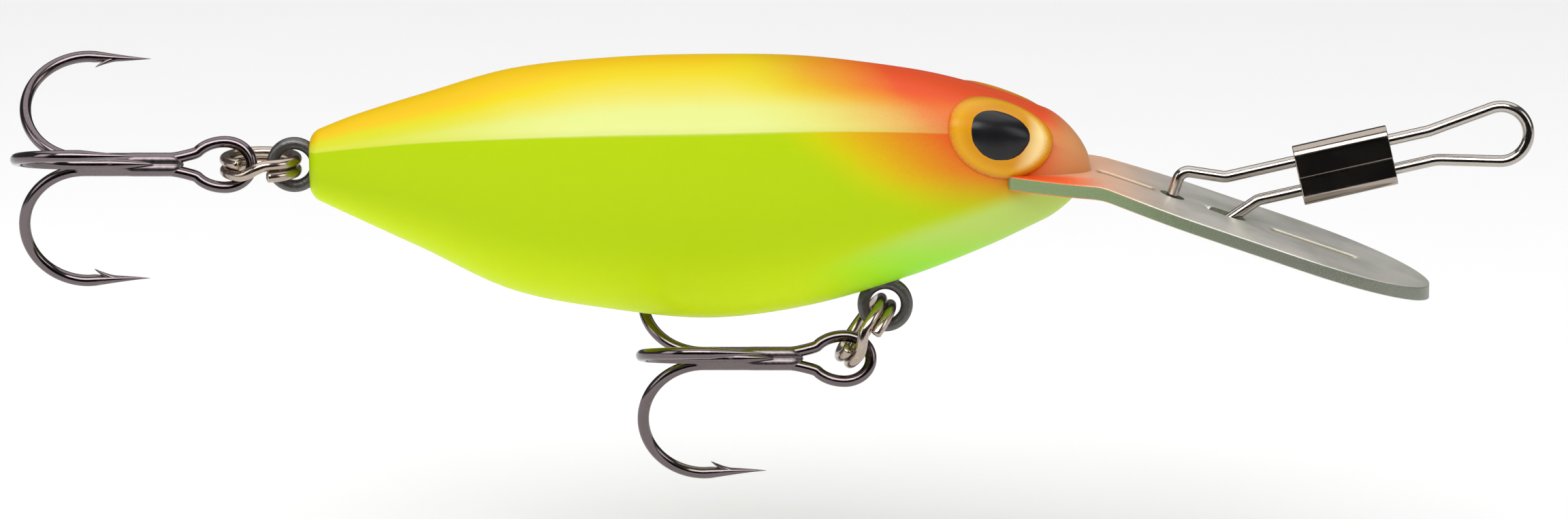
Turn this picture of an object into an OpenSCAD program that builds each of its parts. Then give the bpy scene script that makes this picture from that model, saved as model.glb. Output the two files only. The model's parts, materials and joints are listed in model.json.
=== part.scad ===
// Diving crankbait: hollow two-piece body, pressed metal lip, clip-on line link, two treble hooks.
// Upright swimming position. +X runs from the tail to the line, +Z is up through the back and
// XZ is the body's parting plane. The origin is the centre of the line loop. Millimetres.

/* [Body] */
// Length of the body from the flat of the tail to the snout
body_len = 70; // [66:0.5:74]
// Distance from the line loop back to the snout
snout_back = 36.7; // [36:0.1:38]
// Wall thickness of the two body shells
wall = 1.2; // [0.9:0.1:1.5]
// Height of the lip's root, where the nose closes on it
nose_z = -3.2; // [-3.4:0.1:-3]

/* [Eyes] */
// Long axis of the raised oval eye
eye_long = 10.2; // [9:0.1:11]
// Short axis of the raised oval eye
eye_short = 7.3; // [7:0.1:8]
// Height of the eye above the flank
eye_raise = 0.45; // [0.3:0.05:0.7]

/* [Lip] */
// Thickness of the lip's sheet metal
lip_t = 1.2; // [1:0.05:1.3]
// Angle of the blade below the level line
blade_angle = 19; // [18:0.5:20]
// Widest half width of the blade
blade_half = 9; // [8.5:0.1:9.5]
// Radius of the round hole and half width of the slot that take the link
link_hole_r = 1.1; // [1:0.05:1.3]

/* [Line link] */
// Diameter of the link's wire
link_wire = 1.05; // [0.9:0.05:1.1]
// Centreline radius of the loop that the line ties to
loop_r = 2.5; // [2.3:0.05:2.6]
// Distance between the link's two strands inside the sleeve
strand_gap = 2.7; // [2.5:0.1:2.8]
// Angle at which the strands rise towards the line
strand_angle = 13; // [12:0.5:14]
// Length of the sliding sleeve
sleeve_len = 8.6; // [8:0.1:9]
// Height of the sleeve across both strands
sleeve_h = 5.5; // [5.3:0.1:5.7]
// Width of the sleeve
sleeve_w = 2.1; // [2:0.05:2.3]
// Wall thickness of the sleeve
sleeve_t = 0.35; // [0.3:0.05:0.4]

/* [Hook hangers] */
// Outer radius of a hanger's ring
hanger_r = 2.5; // [2.4:0.05:2.6]
// Radius of the hole in a hanger's ring
hanger_hole_r = 1.4; // [1.35:0.05:1.5]
// Thickness of a hanger
hanger_t = 1.2; // [1:0.05:1.3]
// Radius of the moulded post that anchors a hanger
post_r = 1.0; // [0.8:0.05:1.1]

/* [Split rings] */
// Diameter of the split rings' wire
ring_wire = 1.0; // [0.9:0.02:1]
// Centreline radius of a split ring
ring_r = 3.2; // [3.1:0.05:3.3]
// Turns of wire in a split ring
ring_turns = 1.86; // [1.8:0.01:1.9]

/* [Treble hooks] */
// Diameter of the hook wire
hook_wire = 1.05; // [0.9:0.05:1.1]
// Length from the middle of the eye to the back of the bend
hook_len = 18.7; // [18:0.1:19.5]
// Distance from the shank's axis to a hook's point
hook_reach = 11.7; // [11:0.1:12]
// Length from the back of the bend to the tip of the point
bite_len = 11.1; // [10.5:0.1:12]
// Roll of the treble hooks about their shanks
hook_roll = 15; // [12:1:18]

/* [Inside] */
// Diameter of a rattle ball
ball_d = 4.2; // [4:0.1:4.3]
// Diameter of the ballast weight
ballast_d = 4.8; // [4.5:0.1:5]

/* [Hidden] */
tail_x = -snout_back - body_len;
// Gap between pieces that are fitted into each other
fit = 0.06;
// Length of the tail's rounded edge, and of the rounded snout
tail_round = 0.9;
snout_round = 4.2;
// Fullness of the body's section above its widest line, on the flanks and on the head, and below
// it; 2 is an ellipse. The upper one changes over the distances head_from to head_to.
upper_power = 1.6;
head_power = 2.2;
head_from = 48;
head_to = 60;
lower_power = 1.7;
// Each row is the distance from the tail, then the heights of the back, the widest line and
// the belly, then the half width. The rounded snout is cut from the last two rows.
STATIONS = [
    [0, 0.1, -1.3, -5.7, 2.6],
    [4, 1.7, -0.6, -7.6, 3.9],
    [10, 3.6, 0.3, -10.4, 5.8],
    [18, 5.9, 1.1, -14.2, 7.9],
    [27, 6.9, 1.6, -16.0, 9.0],
    [36, 7.2, 1.8, -16.8, 9.2],
    [45, 7.0, 1.9, -15.6, 8.7],
    [54, 5.75, 1.6, -12.9, 7.6],
    [61, 3.95, 1.0, -10.1, 6.2],
    [66, 2.2, 0.0, -7.7, 4.3],
    [70.2, 0.6, -1.2, -5.7, 2.6]
];
// Columns of the table above
BACK = 1;
CHINE = 2;
BELLY = 3;
HALF = 4;

function row_slope(i, c) =
    let (a = max(i - 1, 0), b = min(i + 1, len(STATIONS) - 1))
    (STATIONS[b][c] - STATIONS[a][c]) / (STATIONS[b][0] - STATIONS[a][0]);
function row_at(d, i = 0) =
    i >= len(STATIONS) - 2 || d < STATIONS[i + 1][0] ? i : row_at(d, i + 1);
// Smooth curve through one column of the table, at distance d from the tail
function along(d, c) =
    let (i = row_at(d), h = STATIONS[i + 1][0] - STATIONS[i][0], t = (d - STATIONS[i][0]) / h)
    (2 * t ^ 3 - 3 * t ^ 2 + 1) * STATIONS[i][c] + (t ^ 3 - 2 * t ^ 2 + t) * h * row_slope(i, c)
    + (3 * t ^ 2 - 2 * t ^ 3) * STATIONS[i + 1][c] + (t ^ 3 - t ^ 2) * h * row_slope(i + 1, c);
// Part of the full size left where the snout rounds off
function snout_part(d) =
    let (t = max(0, d - body_len + snout_round) / snout_round) sqrt(max(0, 1 - t * t));
// Amount by which the tail's rounded edge cuts in
function tail_cut(d) =
    let (t = max(0, 1 - d / tail_round)) tail_round * (1 - sqrt(1 - t * t));
function upper_power_at(d) =
    let (t = min(1, max(0, (d - head_from) / (head_to - head_from))))
    upper_power + (head_power - upper_power) * t * t * (3 - 2 * t);
function signed_power(v, p) = sign(v) * abs(v) ^ p;

// One closed section of the body, shrunk by inset, as points around it
SECTION_STEPS = 28;
// Least half height and half width of a section
min_half = 0.2;
function section(d, inset) =
    let (part = snout_part(d), cut = tail_cut(d) + inset,
        chine = nose_z + (along(d, CHINE) - nose_z) * part,
        up = max(min_half, (along(d, BACK) - nose_z) * part + nose_z - chine - cut),
        down = max(min_half, chine - nose_z + (nose_z - along(d, BELLY)) * part - cut),
        half = max(min_half, along(d, HALF) * part - cut))
    [for (k = [0:SECTION_STEPS - 1])
        let (a = 360 * k / SECTION_STEPS, p = 2 / (cos(a) > 0 ? upper_power_at(d) : lower_power))
        [tail_x + d, -half * signed_power(sin(a), p),
            chine + (cos(a) > 0 ? up : down) * signed_power(cos(a), p)]];

// Closed skin through equal rings of points, with flat ends
module loft(rings) {
    n = len(rings[0]);
    last = len(rings) - 1;
    sides = [for (i = [0:last - 1], k = [0:n - 1], half = [0, 1])
        let (a = i * n + k, b = i * n + (k + 1) % n)
        half == 0 ? [a, a + n, b] : [b, a + n, b + n]];
    ends = [[for (k = [0:n - 1]) k], [for (k = [n - 1:-1:0]) last * n + k]];
    polyhedron([for (ring = rings, p = ring) p], concat(sides, ends), convexity = 6);
}

// Distances from the tail at which the body has a section
TAIL_STEPS = [0, 0.15, 0.45];
MID_STEPS = 18;
SNOUT_STEPS = 6;
function body_steps() = concat(TAIL_STEPS,
    [for (i = [0:MID_STEPS]) tail_round + (body_len - snout_round - tail_round) * i / MID_STEPS],
    [for (i = [1:SNOUT_STEPS]) body_len - snout_round + snout_round * sin(i * 85 / SNOUT_STEPS)]);

module body_solid(inset) {
    steps = [for (d = body_steps()) if (d >= inset && d <= body_len - 1.5 * inset) d];
    loft([for (d = steps) section(d, inset)]);
}

/* Bulkheads stand across the body; they part the rattle cells and hold the ballast. */
BULKHEADS = [-93, -82, -71, -60];
rib_t = 0.9;
cell_half = ball_d / 2 + 0.1;
cell_z = -3;
ballast_x = (BULKHEADS[2] + BULKHEADS[3]) / 2;
ballast_z = -11.4;
ballast_len = BULKHEADS[3] - BULKHEADS[2] - rib_t - 0.4;

/* A size wider than the body, for parts that the shells cut to length */
across_body = 24;

/* Hangers: the ring's centre outside the body and the anchor's centre inside. */
tail_hang = [tail_x - 1.4, 0, -2.8];
tail_anchor = [tail_x + 5.8, 0, -2.8];
belly_hang = [-55.1, 0, -15.6];
belly_anchor = [-54.3, 0, -8.6];
anchor_r = 2.1;
strap_half = 1.1;

/* Lip: height of its upper face. The root lies almost level and the blade slopes down. */
root_angle = 4;
bend_x = -35.9;
bend_z = -3.35;
bend_r = 8;
lip_back = -44.2;
tongue_back = -50.2;
tongue_half = 3;
tongue_post_x = -47.4;
tongue_post_r = 0.9;
tip_x = -6.2;
tip_from = -19;
bend_half = bend_r * tan((blade_angle - root_angle) / 2);
// Upper face of the lip as points from the tongue to the tip
function lip_top() = concat(
    [[tongue_back, bend_z + (bend_x - tongue_back) * tan(root_angle)]],
    [for (i = [0:8])
        let (a = root_angle + (blade_angle - root_angle) * i / 8,
            start = [bend_x - bend_half * cos(root_angle), bend_z + bend_half * sin(root_angle)])
        start + bend_r * [sin(a) - sin(root_angle), cos(a) - cos(root_angle)]],
    [[tip_x + 1, bend_z - (tip_x + 1 - bend_x) * tan(blade_angle)]]);
// The lip's side view, grown by gap all round
module lip_profile(gap) {
    top = lip_top();
    up = [for (p = top) p + [0, gap]];
    down = [for (i = [len(top) - 1:-1:0]) top[i] - [0, lip_t / cos(blade_angle) + gap]];
    polygon(concat(up, down));
}
// Half width of the lip at its back corners and at its bend, and the length over which it flares
back_half = 5.6;
root_half = 7.3;
flare_len = 9;
// Half width of the lip at x
function lip_half(x) =
    x < bend_x ? back_half + (root_half - back_half) * sin(90 * (x - lip_back) / (bend_x - lip_back))
    : x < tip_from ? root_half + (blade_half - root_half) * sin(90 * min(1, (x - bend_x) / flare_len))
    : blade_half * sqrt(max(0, 1 - ((x - tip_from) / (tip_x - tip_from)) ^ 2.3));
function lip_edge() = concat(
    [for (i = [0:6]) lip_back + (bend_x - lip_back) * i / 6],
    [for (i = [1:5]) bend_x + flare_len * i / 5],
    [for (i = [0:14]) tip_from + (tip_x - tip_from) * sin(90 * i / 14)]);
module lip_outline() {
    xs = lip_edge();
    polygon(concat([for (x = xs) [x, lip_half(x)]],
        [for (i = [len(xs) - 2:-1:0]) [xs[i], -lip_half(xs[i])]]));
    translate([tongue_back, -tongue_half]) square([lip_back - tongue_back + 1, 2 * tongue_half]);
}
// Distance along the blade from its bend to the link's round hole and to the slot's two ends
hole_s = 6.9;
slot_from = 11.5;
slot_to = 12.7;
/* Link: the wire's corners behind the sleeve, in X and Z, each with the radius that rounds it. */
function blade_point(s, up) =
    [bend_x, bend_z] + s * [cos(blade_angle), -sin(blade_angle)]
    + up * [sin(blade_angle), cos(blade_angle)];
sleeve_mid = [-13.9, -2.85];
strand_dir = [cos(strand_angle), sin(strand_angle)];
strand_up = [-sin(strand_angle), cos(strand_angle)];
function strand_point(along_it, side) =
    sleeve_mid + along_it * strand_dir + side * strand_gap / 2 * strand_up;
under_lip = -lip_t - 0.3 - link_wire / 2;
wire_gap = 0.3;
LINK_BACK = [
    [strand_point(-wire_gap / 2, 1), 0],
    [strand_point(-10.7, 1), 2],
    [blade_point(hole_s, 2.4), 1],
    [blade_point(hole_s, under_lip), 1],
    [blade_point(11.3, under_lip), 1],
    [strand_point(-8.3, -1), 1.6]
];
// The corners in front of the sleeve, with their radii, lead into the loop
low_corner = strand_point(8.1, -1);
low_corner_r = 4;
high_corner = strand_point(8.0, 1);
high_corner_r = 3;
// Arc points that round the corner b between a and c with radius r
function unit(v) = v / norm(v);
function rounded(a, b, c, r, steps = 6) =
    let (u = unit(a - b), v = unit(c - b), half = acos(u * v) / 2,
        centre = b + unit(u + v) * r / sin(half),
        from = b + u * r / tan(half) - centre, to = b + v * r / tan(half) - centre,
        turn = 180 - 2 * half)
    [for (i = [0:steps])
        centre + (from * sin(turn * (1 - i / steps)) + to * sin(turn * i / steps)) / sin(turn)];
LOOP_STEPS = 26;
function link_path() =
    let (low_a = atan2(low_corner[1], low_corner[0]) + acos(loop_r / norm(low_corner)),
        high_a = atan2(high_corner[1], high_corner[0]) - acos(loop_r / norm(high_corner)),
        on_low = loop_r * [cos(low_a), sin(low_a)], on_high = loop_r * [cos(high_a), sin(high_a)],
        back = [for (row = LINK_BACK) row[0]], corners = concat(back, [low_corner]))
    concat([corners[0]],
        [for (i = [1:len(back) - 1])
            each rounded(corners[i - 1], corners[i], corners[i + 1], LINK_BACK[i][1])],
        rounded(back[len(back) - 1], low_corner, on_low, low_corner_r),
        [for (i = [0:LOOP_STEPS])
            let (a = low_a + (high_a - low_a) * i / LOOP_STEPS) loop_r * [cos(a), sin(a)]],
        rounded(on_high, high_corner, strand_point(wire_gap / 2, 1), high_corner_r),
        [strand_point(wire_gap / 2, 1)]);

/* A wire swept along points; across is a direction that no part of the wire runs along. */
function wire_rings(path, radii, across, sides) =
    [for (i = [0:len(path) - 1])
        let (t = unit(path[min(i + 1, len(path) - 1)] - path[max(i - 1, 0)]),
            b = unit(cross(t, across)), n = cross(b, t))
        [for (k = [0:sides - 1])
            let (a = -360 * k / sides) path[i] + radii[i] * (cos(a) * b + sin(a) * n)]];
module wire(path, radii, across, sides = 10) {
    loft(wire_rings(path, radii, across, sides));
}
function same(path, r) = [for (p = path) r];

/* Treble hook: one wire bends into two hooks and the eye, and the third hook is brazed on. */
shank_offset = 0.612;
bend_circle = (hook_reach - shank_offset) / 2;
bend_at = hook_len - bend_circle - hook_wire / 2;
eye_half_len = 2.38;
eye_half_h = 2.05;
eye_neck = 4.6;
single_from = 9.6;
point_len = bite_len - bend_circle;
// One hook in its own plane: distance behind the eye, then distance from the shank's axis
function hook_curve() = concat(
    [for (i = [0:14]) let (a = 180 * i / 14)
        [bend_at + bend_circle * sin(a), shank_offset + bend_circle * (1 - cos(a))]],
    [for (i = [1:6]) [bend_at - point_len * i / 6, hook_reach - 0.25 * sin(180 * i / 12)]]);
function hook_radii() = concat([for (i = [0:14]) hook_wire / 2],
    [for (i = [1:6]) hook_wire / 2 * (1 - 0.86 * (i / 6) ^ 1.6)]);
// Places a hook's plane at an angle about the shank; 0 faces -Y and 90 faces +Z
eye_shift = shank_offset / 2;
function hook_place(p, a) = [-p[0], -p[1] * cos(a) - eye_shift, p[1] * sin(a)];
function reversed(list) = [for (i = [len(list) - 1:-1:0]) list[i]];
// The eye: from the upper shank wire round the ring to the lower one
function eye_path() =
    [for (i = [0:20]) let (a = 150 - 300 * i / 20)
        [eye_half_len * cos(a) * (cos(a) < 0 ? 1.25 : 1), 0, eye_half_h * sin(a)]];
function pair_path() =
    let (curve = hook_curve())
    concat([for (p = reversed(curve)) hook_place(p, 120)],
        [hook_place([eye_neck, shank_offset], 120)], eye_path(),
        [hook_place([eye_neck, shank_offset], -120)], [for (p = curve) hook_place(p, -120)]);
function pair_radii() = concat(reversed(hook_radii()), same([for (i = [0:22]) i], hook_wire / 2),
    hook_radii());
function single_path() =
    concat([hook_place([single_from, shank_offset], 0)], [for (p = hook_curve()) hook_place(p, 0)]);

tail_eye = tail_hang + [0.2 - 2 * ring_r, 0, 0];
belly_ring_angle = 54;
belly_dir = [-cos(belly_ring_angle), 0, -sin(belly_ring_angle)];
belly_pivot = belly_hang - 0.2 * belly_dir;
belly_eye = belly_pivot + 2 * ring_r * belly_dir;

module treble_pair() {
    color("#3b3036") rotate([-hook_roll, 0, 0]) wire(pair_path(), pair_radii(), [0, 1, 0]);
}
module treble_single() {
    color("#3b3036") rotate([-hook_roll, 0, 0])
        wire(single_path(), concat([hook_wire / 2], hook_radii()), [0, 0, 1]);
}
// Brazing metal that fills the grooves and the core between the three shank wires
module treble_braze() {
    braze_r = 0.95;
    color("#4a4042") rotate([-hook_roll, 0, 0]) translate([-bend_at + 0.3, -eye_shift, 0])
        rotate([0, 90, 0]) linear_extrude(bend_at - single_from - 0.6) difference() {
            circle(r = braze_r, $fn = 48);
            for (a = [0, 120, 240])
                rotate(a) translate([0, -shank_offset]) circle(r = hook_wire / 2 + 0.02, $fn = 32);
        }
}

// Split ring lying in the plane of Y and its own -X, hinged at the origin. Its two coils lie
// flat on each other, and the wire crosses from one to the other in the gap between its ends.
ring_start = 285;
ring_gap = 360 * (2 - ring_turns);
coil_rise = ring_wire / 2 + 0.015;
function ring_rise(a) =
    let (t = min(1, max(0, (a - ring_start - 360 + ring_gap) / ring_gap)))
    coil_rise * (t * t * (6 - 4 * t) - 1);
module split_ring() {
    steps = 60;
    path = [for (i = [0:steps])
        let (a = ring_start + 360 * ring_turns * i / steps)
        [-ring_r + ring_r * cos(a), ring_r * sin(a), ring_rise(a)]];
    wire(path, same(path, ring_wire / 2), [0, 0, 1]);
}

// Turns a flat plate so that its origin is at the ring and +X points to the anchor
module hanger_plane(ring_at, anchor_at, depth) {
    turn = atan2(anchor_at[2] - ring_at[2], anchor_at[0] - ring_at[0]);
    translate(ring_at) rotate([0, -turn, 0]) rotate([90, 0, 0]) translate([0, 0, -depth / 2])
        children();
}
module hanger(ring_at, anchor_at) {
    span = norm(anchor_at - ring_at);
    strap_from = 1.9;
    strap_to = span - 1.4;
    color("#7d7a74") hanger_plane(ring_at, anchor_at, hanger_t) difference() {
        union() {
            cylinder(r = hanger_r, h = hanger_t, $fn = 64);
            translate([span, 0, 0]) cylinder(r = anchor_r, h = hanger_t, $fn = 48);
            translate([strap_from, -strap_half, 0])
                cube([strap_to - strap_from, 2 * strap_half, hanger_t]);
        }
        translate([0, 0, -1]) cylinder(r = hanger_hole_r, h = hanger_t + 2, $fn = 64);
        translate([span, 0, -1]) cylinder(r = post_r + fit, h = hanger_t + 2, $fn = 48);
    }
}
// Room in the shells for a hanger
module hanger_pocket(ring_at, anchor_at) {
    span = norm(anchor_at - ring_at);
    depth = hanger_t + 2 * fit;
    hanger_plane(ring_at, anchor_at, depth) {
        cylinder(r = hanger_r + fit, h = depth, $fn = 48);
        translate([span, 0, 0]) cylinder(r = anchor_r + fit, h = depth, $fn = 48);
        translate([0, -strap_half - fit, 0]) cube([span, 2 * (strap_half + fit), depth]);
    }
}
module post(at) {
    translate(at) rotate([90, 0, 0]) cylinder(r = post_r, h = across_body, center = true, $fn = 16);
}

// Ribs inside the shells: bulkheads, rattle cells, the ballast's saddles and the lip's shelves
saddle_gap = 3;
saddle_h = 5;
shelf_mid = [-47.6, 0, -3.1];
shelf_len = 8;
shelf_t = 1.4;
shelf_gap = 1.3;
module ribs() {
    for (x = BULKHEADS) translate([x, 0, -5]) cube([rib_t, across_body, 30], center = true);
    cell_len = BULKHEADS[3] - BULKHEADS[0];
    translate([BULKHEADS[0], 0, cell_z]) difference() {
        translate([0, -cell_half - rib_t, -cell_half - rib_t])
            cube([cell_len, 2 * (cell_half + rib_t), 2 * (cell_half + rib_t)]);
        translate([-1, -cell_half, -cell_half]) cube([cell_len + 2, 2 * cell_half, 2 * cell_half]);
    }
    for (side = [-1, 1]) translate([ballast_x + saddle_gap * side, 0, ballast_z - 2])
        cube([rib_t, across_body, saddle_h], center = true);
    for (side = [-1, 1]) translate(shelf_mid + [0, 0, shelf_gap * side])
        cube([shelf_len, across_body, shelf_t], center = true);
}

// Where the eye sits on a flank: side is -1 for the right flank and 1 for the left
eye_at = [-45.15, 5.0, 0.76];
eye_yaw = 21;
eye_lift = 16;
eye_tilt = 20;
// How far the eye's oval is carried into the shell and out of it before it is cut to the skin
eye_in = 2.5;
eye_out = 4;
module on_flank(side) {
    mirror([0, side > 0 ? 1 : 0, 0]) translate([eye_at[0], -eye_at[1], eye_at[2]])
        rotate([0, 0, eye_yaw]) rotate([90 - eye_lift, 0, 0]) rotate([0, 0, -eye_tilt]) children();
}
// The eye follows the head's skin at a height of eye_raise
module eye_boss(side) {
    intersection() {
        body_solid(-eye_raise);
        on_flank(side) scale([eye_long / 2, eye_short / 2, 1]) translate([0, 0, -eye_in])
            cylinder(r = 1, h = eye_in + eye_out, $fn = 40);
    }
}
module lip_slot() {
    rotate([90, 0, 0]) linear_extrude(2 * (tongue_half + fit), center = true) lip_profile(fit);
    intersection() {
        rotate([90, 0, 0]) linear_extrude(30, center = true) lip_profile(fit);
        translate([lip_back - fit, -15, -20]) cube([30, 30, 40]);
    }
}
module tongue_post() {
    translate([tongue_post_x, 0, shelf_mid[2]])
        cylinder(r = tongue_post_r, h = 2 * shelf_gap, center = true, $fn = 24);
}

// The hollow inside the shells, with the ribs and posts left standing in it
module cavity() {
    difference() {
        body_solid(wall);
        difference() {
            ribs();
            translate([ballast_x, 0, ballast_z]) rotate([0, 90, 0])
                cylinder(d = ballast_d + 2 * fit, h = ballast_len + 0.2, center = true, $fn = 24);
        }
        post(tail_anchor);
        post(belly_anchor);
    }
}

// One half of the body, moulded with its ribs, posts and eye; side is -1 right and 1 left
module shell(side) {
    resize([0, 0, 0]) intersection() {
        difference() {
            union() {
                body_solid(0);
                eye_boss(side);
            }
            cavity();
            difference() {
                hanger_pocket(tail_hang, tail_anchor);
                post(tail_anchor);
            }
            difference() {
                hanger_pocket(belly_hang, belly_anchor);
                post(belly_anchor);
            }
            difference() {
                lip_slot();
                tongue_post();
            }
        }
        translate([-120, side > 0 ? 0 : -20, -30]) cube([100, 20, 60]);
    }
}
module right_shell() {
    color("#c3dc12") shell(-1);
}
module left_shell() {
    color("#b7d010") shell(1);
}

// The lip's holes as seen from above: the link's round hole and slot, and the post's hole
module lip_holes() {
    translate([blade_point(hole_s, 0)[0], 0]) circle(r = link_hole_r, $fn = 40);
    hull() {
        translate([blade_point(slot_from, 0)[0], 0]) circle(r = link_hole_r, $fn = 40);
        translate([blade_point(slot_to, 0)[0], 0]) circle(r = link_hole_r, $fn = 40);
    }
    translate([tongue_post_x, 0]) circle(r = tongue_post_r + fit, $fn = 32);
}
module lip() {
    color("#b0a89c") intersection() {
        rotate([90, 0, 0]) linear_extrude(24, center = true) lip_profile(0);
        translate([0, 0, -25]) linear_extrude(40) difference() {
            lip_outline();
            lip_holes();
        }
    }
}

module tail_hanger() {
    hanger(tail_hang, tail_anchor);
}
module belly_hanger() {
    hanger(belly_hang, belly_anchor);
}
module ballast_weight() {
    color("#6e7176") translate([ballast_x - ballast_len / 2, 0, ballast_z]) rotate([0, 90, 0])
        cylinder(d = ballast_d, h = ballast_len, $fn = 48);
}
module rattle_ball(cell) {
    color("#c8c8cc") translate([(BULKHEADS[cell] + BULKHEADS[cell + 1]) / 2, 0, cell_z])
        sphere(d = ball_d, $fn = 48);
}
module rattle_ball_rear() {
    rattle_ball(0);
}
module rattle_ball_middle() {
    rattle_ball(1);
}
module rattle_ball_front() {
    rattle_ball(2);
}
module tail_split_ring() {
    color("#6b5f56") translate(tail_hang + [0.2, 0, 0]) split_ring();
}
module belly_split_ring() {
    color("#6b5f56") translate(belly_pivot) rotate([0, -belly_ring_angle, 0]) split_ring();
}
module tail_hook_pair() {
    translate(tail_eye) treble_pair();
}
module tail_hook_single() {
    translate(tail_eye) treble_single();
}
module tail_hook_braze() {
    translate(tail_eye) treble_braze();
}
module belly_hook_pair() {
    translate(belly_eye) treble_pair();
}
module belly_hook_single() {
    translate(belly_eye) treble_single();
}
module belly_hook_braze() {
    translate(belly_eye) treble_braze();
}
module link_wire_loop() {
    flat = link_path();
    path = [for (p = flat) [p[0], 0, p[1]]];
    color("#9a9691") wire(path, same(path, link_wire / 2), [0, 1, 0], 12);
}
module racetrack(h, w) {
    square([w, h - w], center = true);
    for (side = [-1, 1]) translate([0, side * (h - w) / 2]) circle(d = w, $fn = 40);
}
module link_sleeve() {
    color("#8c8884") translate([sleeve_mid[0], 0, sleeve_mid[1]]) rotate([0, -strand_angle, 0])
        rotate([90, 0, 90]) linear_extrude(sleeve_len, center = true) difference() {
            racetrack(sleeve_h, sleeve_w);
            racetrack(sleeve_h - 2 * sleeve_t, sleeve_w - 2 * sleeve_t);
        }
}

right_shell();
left_shell();
lip();
tail_hanger();
belly_hanger();
ballast_weight();
rattle_ball_rear();
rattle_ball_middle();
rattle_ball_front();
tail_split_ring();
belly_split_ring();
tail_hook_pair();
tail_hook_single();
tail_hook_braze();
belly_hook_pair();
belly_hook_single();
belly_hook_braze();
link_wire_loop();
link_sleeve();
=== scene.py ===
"""Crankbait lure: the finished look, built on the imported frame.

Sizes in the functions are millimetres in the frame's own axes (+X towards the line, +Z up) and
become metres when a mesh is written. Materials and the stage are in metres.
"""
import json
import math
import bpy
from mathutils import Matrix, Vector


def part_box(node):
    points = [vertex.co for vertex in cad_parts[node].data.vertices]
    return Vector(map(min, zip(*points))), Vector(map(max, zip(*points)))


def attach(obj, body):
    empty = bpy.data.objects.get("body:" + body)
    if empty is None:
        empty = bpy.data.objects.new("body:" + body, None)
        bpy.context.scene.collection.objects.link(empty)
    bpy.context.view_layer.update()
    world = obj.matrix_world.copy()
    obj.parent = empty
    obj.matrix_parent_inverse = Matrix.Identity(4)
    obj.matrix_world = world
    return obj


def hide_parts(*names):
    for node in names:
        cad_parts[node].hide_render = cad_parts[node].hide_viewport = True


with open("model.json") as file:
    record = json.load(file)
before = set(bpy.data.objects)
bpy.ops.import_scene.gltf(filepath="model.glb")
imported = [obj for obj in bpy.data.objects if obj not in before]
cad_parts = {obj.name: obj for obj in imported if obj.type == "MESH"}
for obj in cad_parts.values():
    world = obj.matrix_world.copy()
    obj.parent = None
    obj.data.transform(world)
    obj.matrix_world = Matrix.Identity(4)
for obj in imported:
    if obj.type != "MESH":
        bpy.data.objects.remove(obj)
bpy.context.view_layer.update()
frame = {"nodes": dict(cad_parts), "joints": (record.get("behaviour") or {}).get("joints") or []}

import types

import bmesh
import bpy
import numpy as np
from mathutils import Vector

bl_info = {
    "name": "Crankbait Lure",
    "version": (1, 0, 0),
    "blender": (4, 5, 0),
    "location": "3D View > Sidebar > Lure",
    "description": "Builds the finished surfaces of a diving crankbait around its packed frame",
    "category": "Object",
}

MM = 0.001
ACROSS_Y, ACROSS_Z = (0, 1, 0), (0, 0, 1)
# The lure's right and left, and the sign of Y there
SIDES = (("right", -1), ("left", 1))
TAIL_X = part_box("right_shell")[0][0] / MM


# ---------------------------------------------------------------- sizes and colours

def length(name, description, default, low, high):
    """A length that a user may change, from a default and a range in millimetres."""
    return bpy.props.FloatProperty(name=name, description=description, default=default * MM,
                                   min=low * MM, max=high * MM, unit="LENGTH", precision=5)


def colour(name, description, default):
    """A linear colour that a user may change."""
    return bpy.props.FloatVectorProperty(name=name, description=description, default=default,
                                         size=3, min=0.0, max=1.0, subtype="COLOR")


class LureBodySettings(bpy.types.PropertyGroup):
    """Sizes and paint of the two body shells"""
    wall: length("Wall", "Wall thickness of the shells", 1.2, 0.8, 1.6)
    seam: length("Seam", "Depth of the line where the shells meet", 0.05, 0.0, 0.15)
    flank: colour("Flank", "Chartreuse of the flanks", (0.39, 0.54, 0.0))
    # Painted lighter than the flank: painted fill light that makes up for the shade under the body
    belly: colour("Belly", "Lighter chartreuse of the belly", (0.60, 0.77, 0.0))
    # Pale pearl tone with a painted highlight over it, just above the widest line
    pearl_highlight: colour("Pearl", "Pale pearl just above the widest line", (0.60, 0.64, 0.21))
    back: colour("Back", "Yellow of the back", (0.66, 0.52, 0.0))
    ridge: colour("Ridge", "Golden yellow along the top", (0.70, 0.44, 0.0))
    spray: colour("Spray", "Yellow at the edge of the head's spray", (0.60, 0.50, 0.0))
    cheek: colour("Cheek", "Orange between the head and the flank", (0.62, 0.26, 0.006))
    head: colour("Head", "Orange-red of the forehead", (0.63, 0.068, 0.014))
    # Towards the tail this tint takes the place of the pearl band's painted highlight
    tail: colour("Tail", "Olive yellow that covers the pearl towards the tail", (0.53, 0.56, 0.02))
    chin: colour("Chin", "Pale apple green of the throat", (0.44, 0.60, 0.13))
    throat: colour("Throat", "Brighter green low on the throat", (0.28, 0.74, 0.02))
    # A lighter tan over the snout above the lip
    snout: colour("Snout", "Tan of the bare snout", (0.62, 0.28, 0.11))


class LureEyeSettings(bpy.types.PropertyGroup):
    """Sizes and paint of the raised eyes"""
    long_axis: length("Long axis", "Length of the oval eye", 10.2, 8.0, 12.0)
    short_axis: length("Short axis", "Height of the oval eye", 7.3, 6.0, 9.0)
    height: length("Height", "How far the eye stands off the flank", 0.45, 0.2, 0.7)
    iris: colour("Iris", "Amber of the eye", (0.56, 0.235, 0.001))
    # A painted highlight: cream painted on the eye's face ahead of the pupil
    painted_eye_highlight: colour("Glow", "Cream in front of the pupil", (0.80, 0.62, 0.27))
    pupil_long: length("Pupil length", "Half length of the pupil", 2.85, 2.0, 3.5)
    pupil_short: length("Pupil height", "Half height of the pupil", 2.38, 1.5, 3.0)
    pupil: colour("Pupil", "Black of the pupil", (0.004, 0.004, 0.005))


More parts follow.
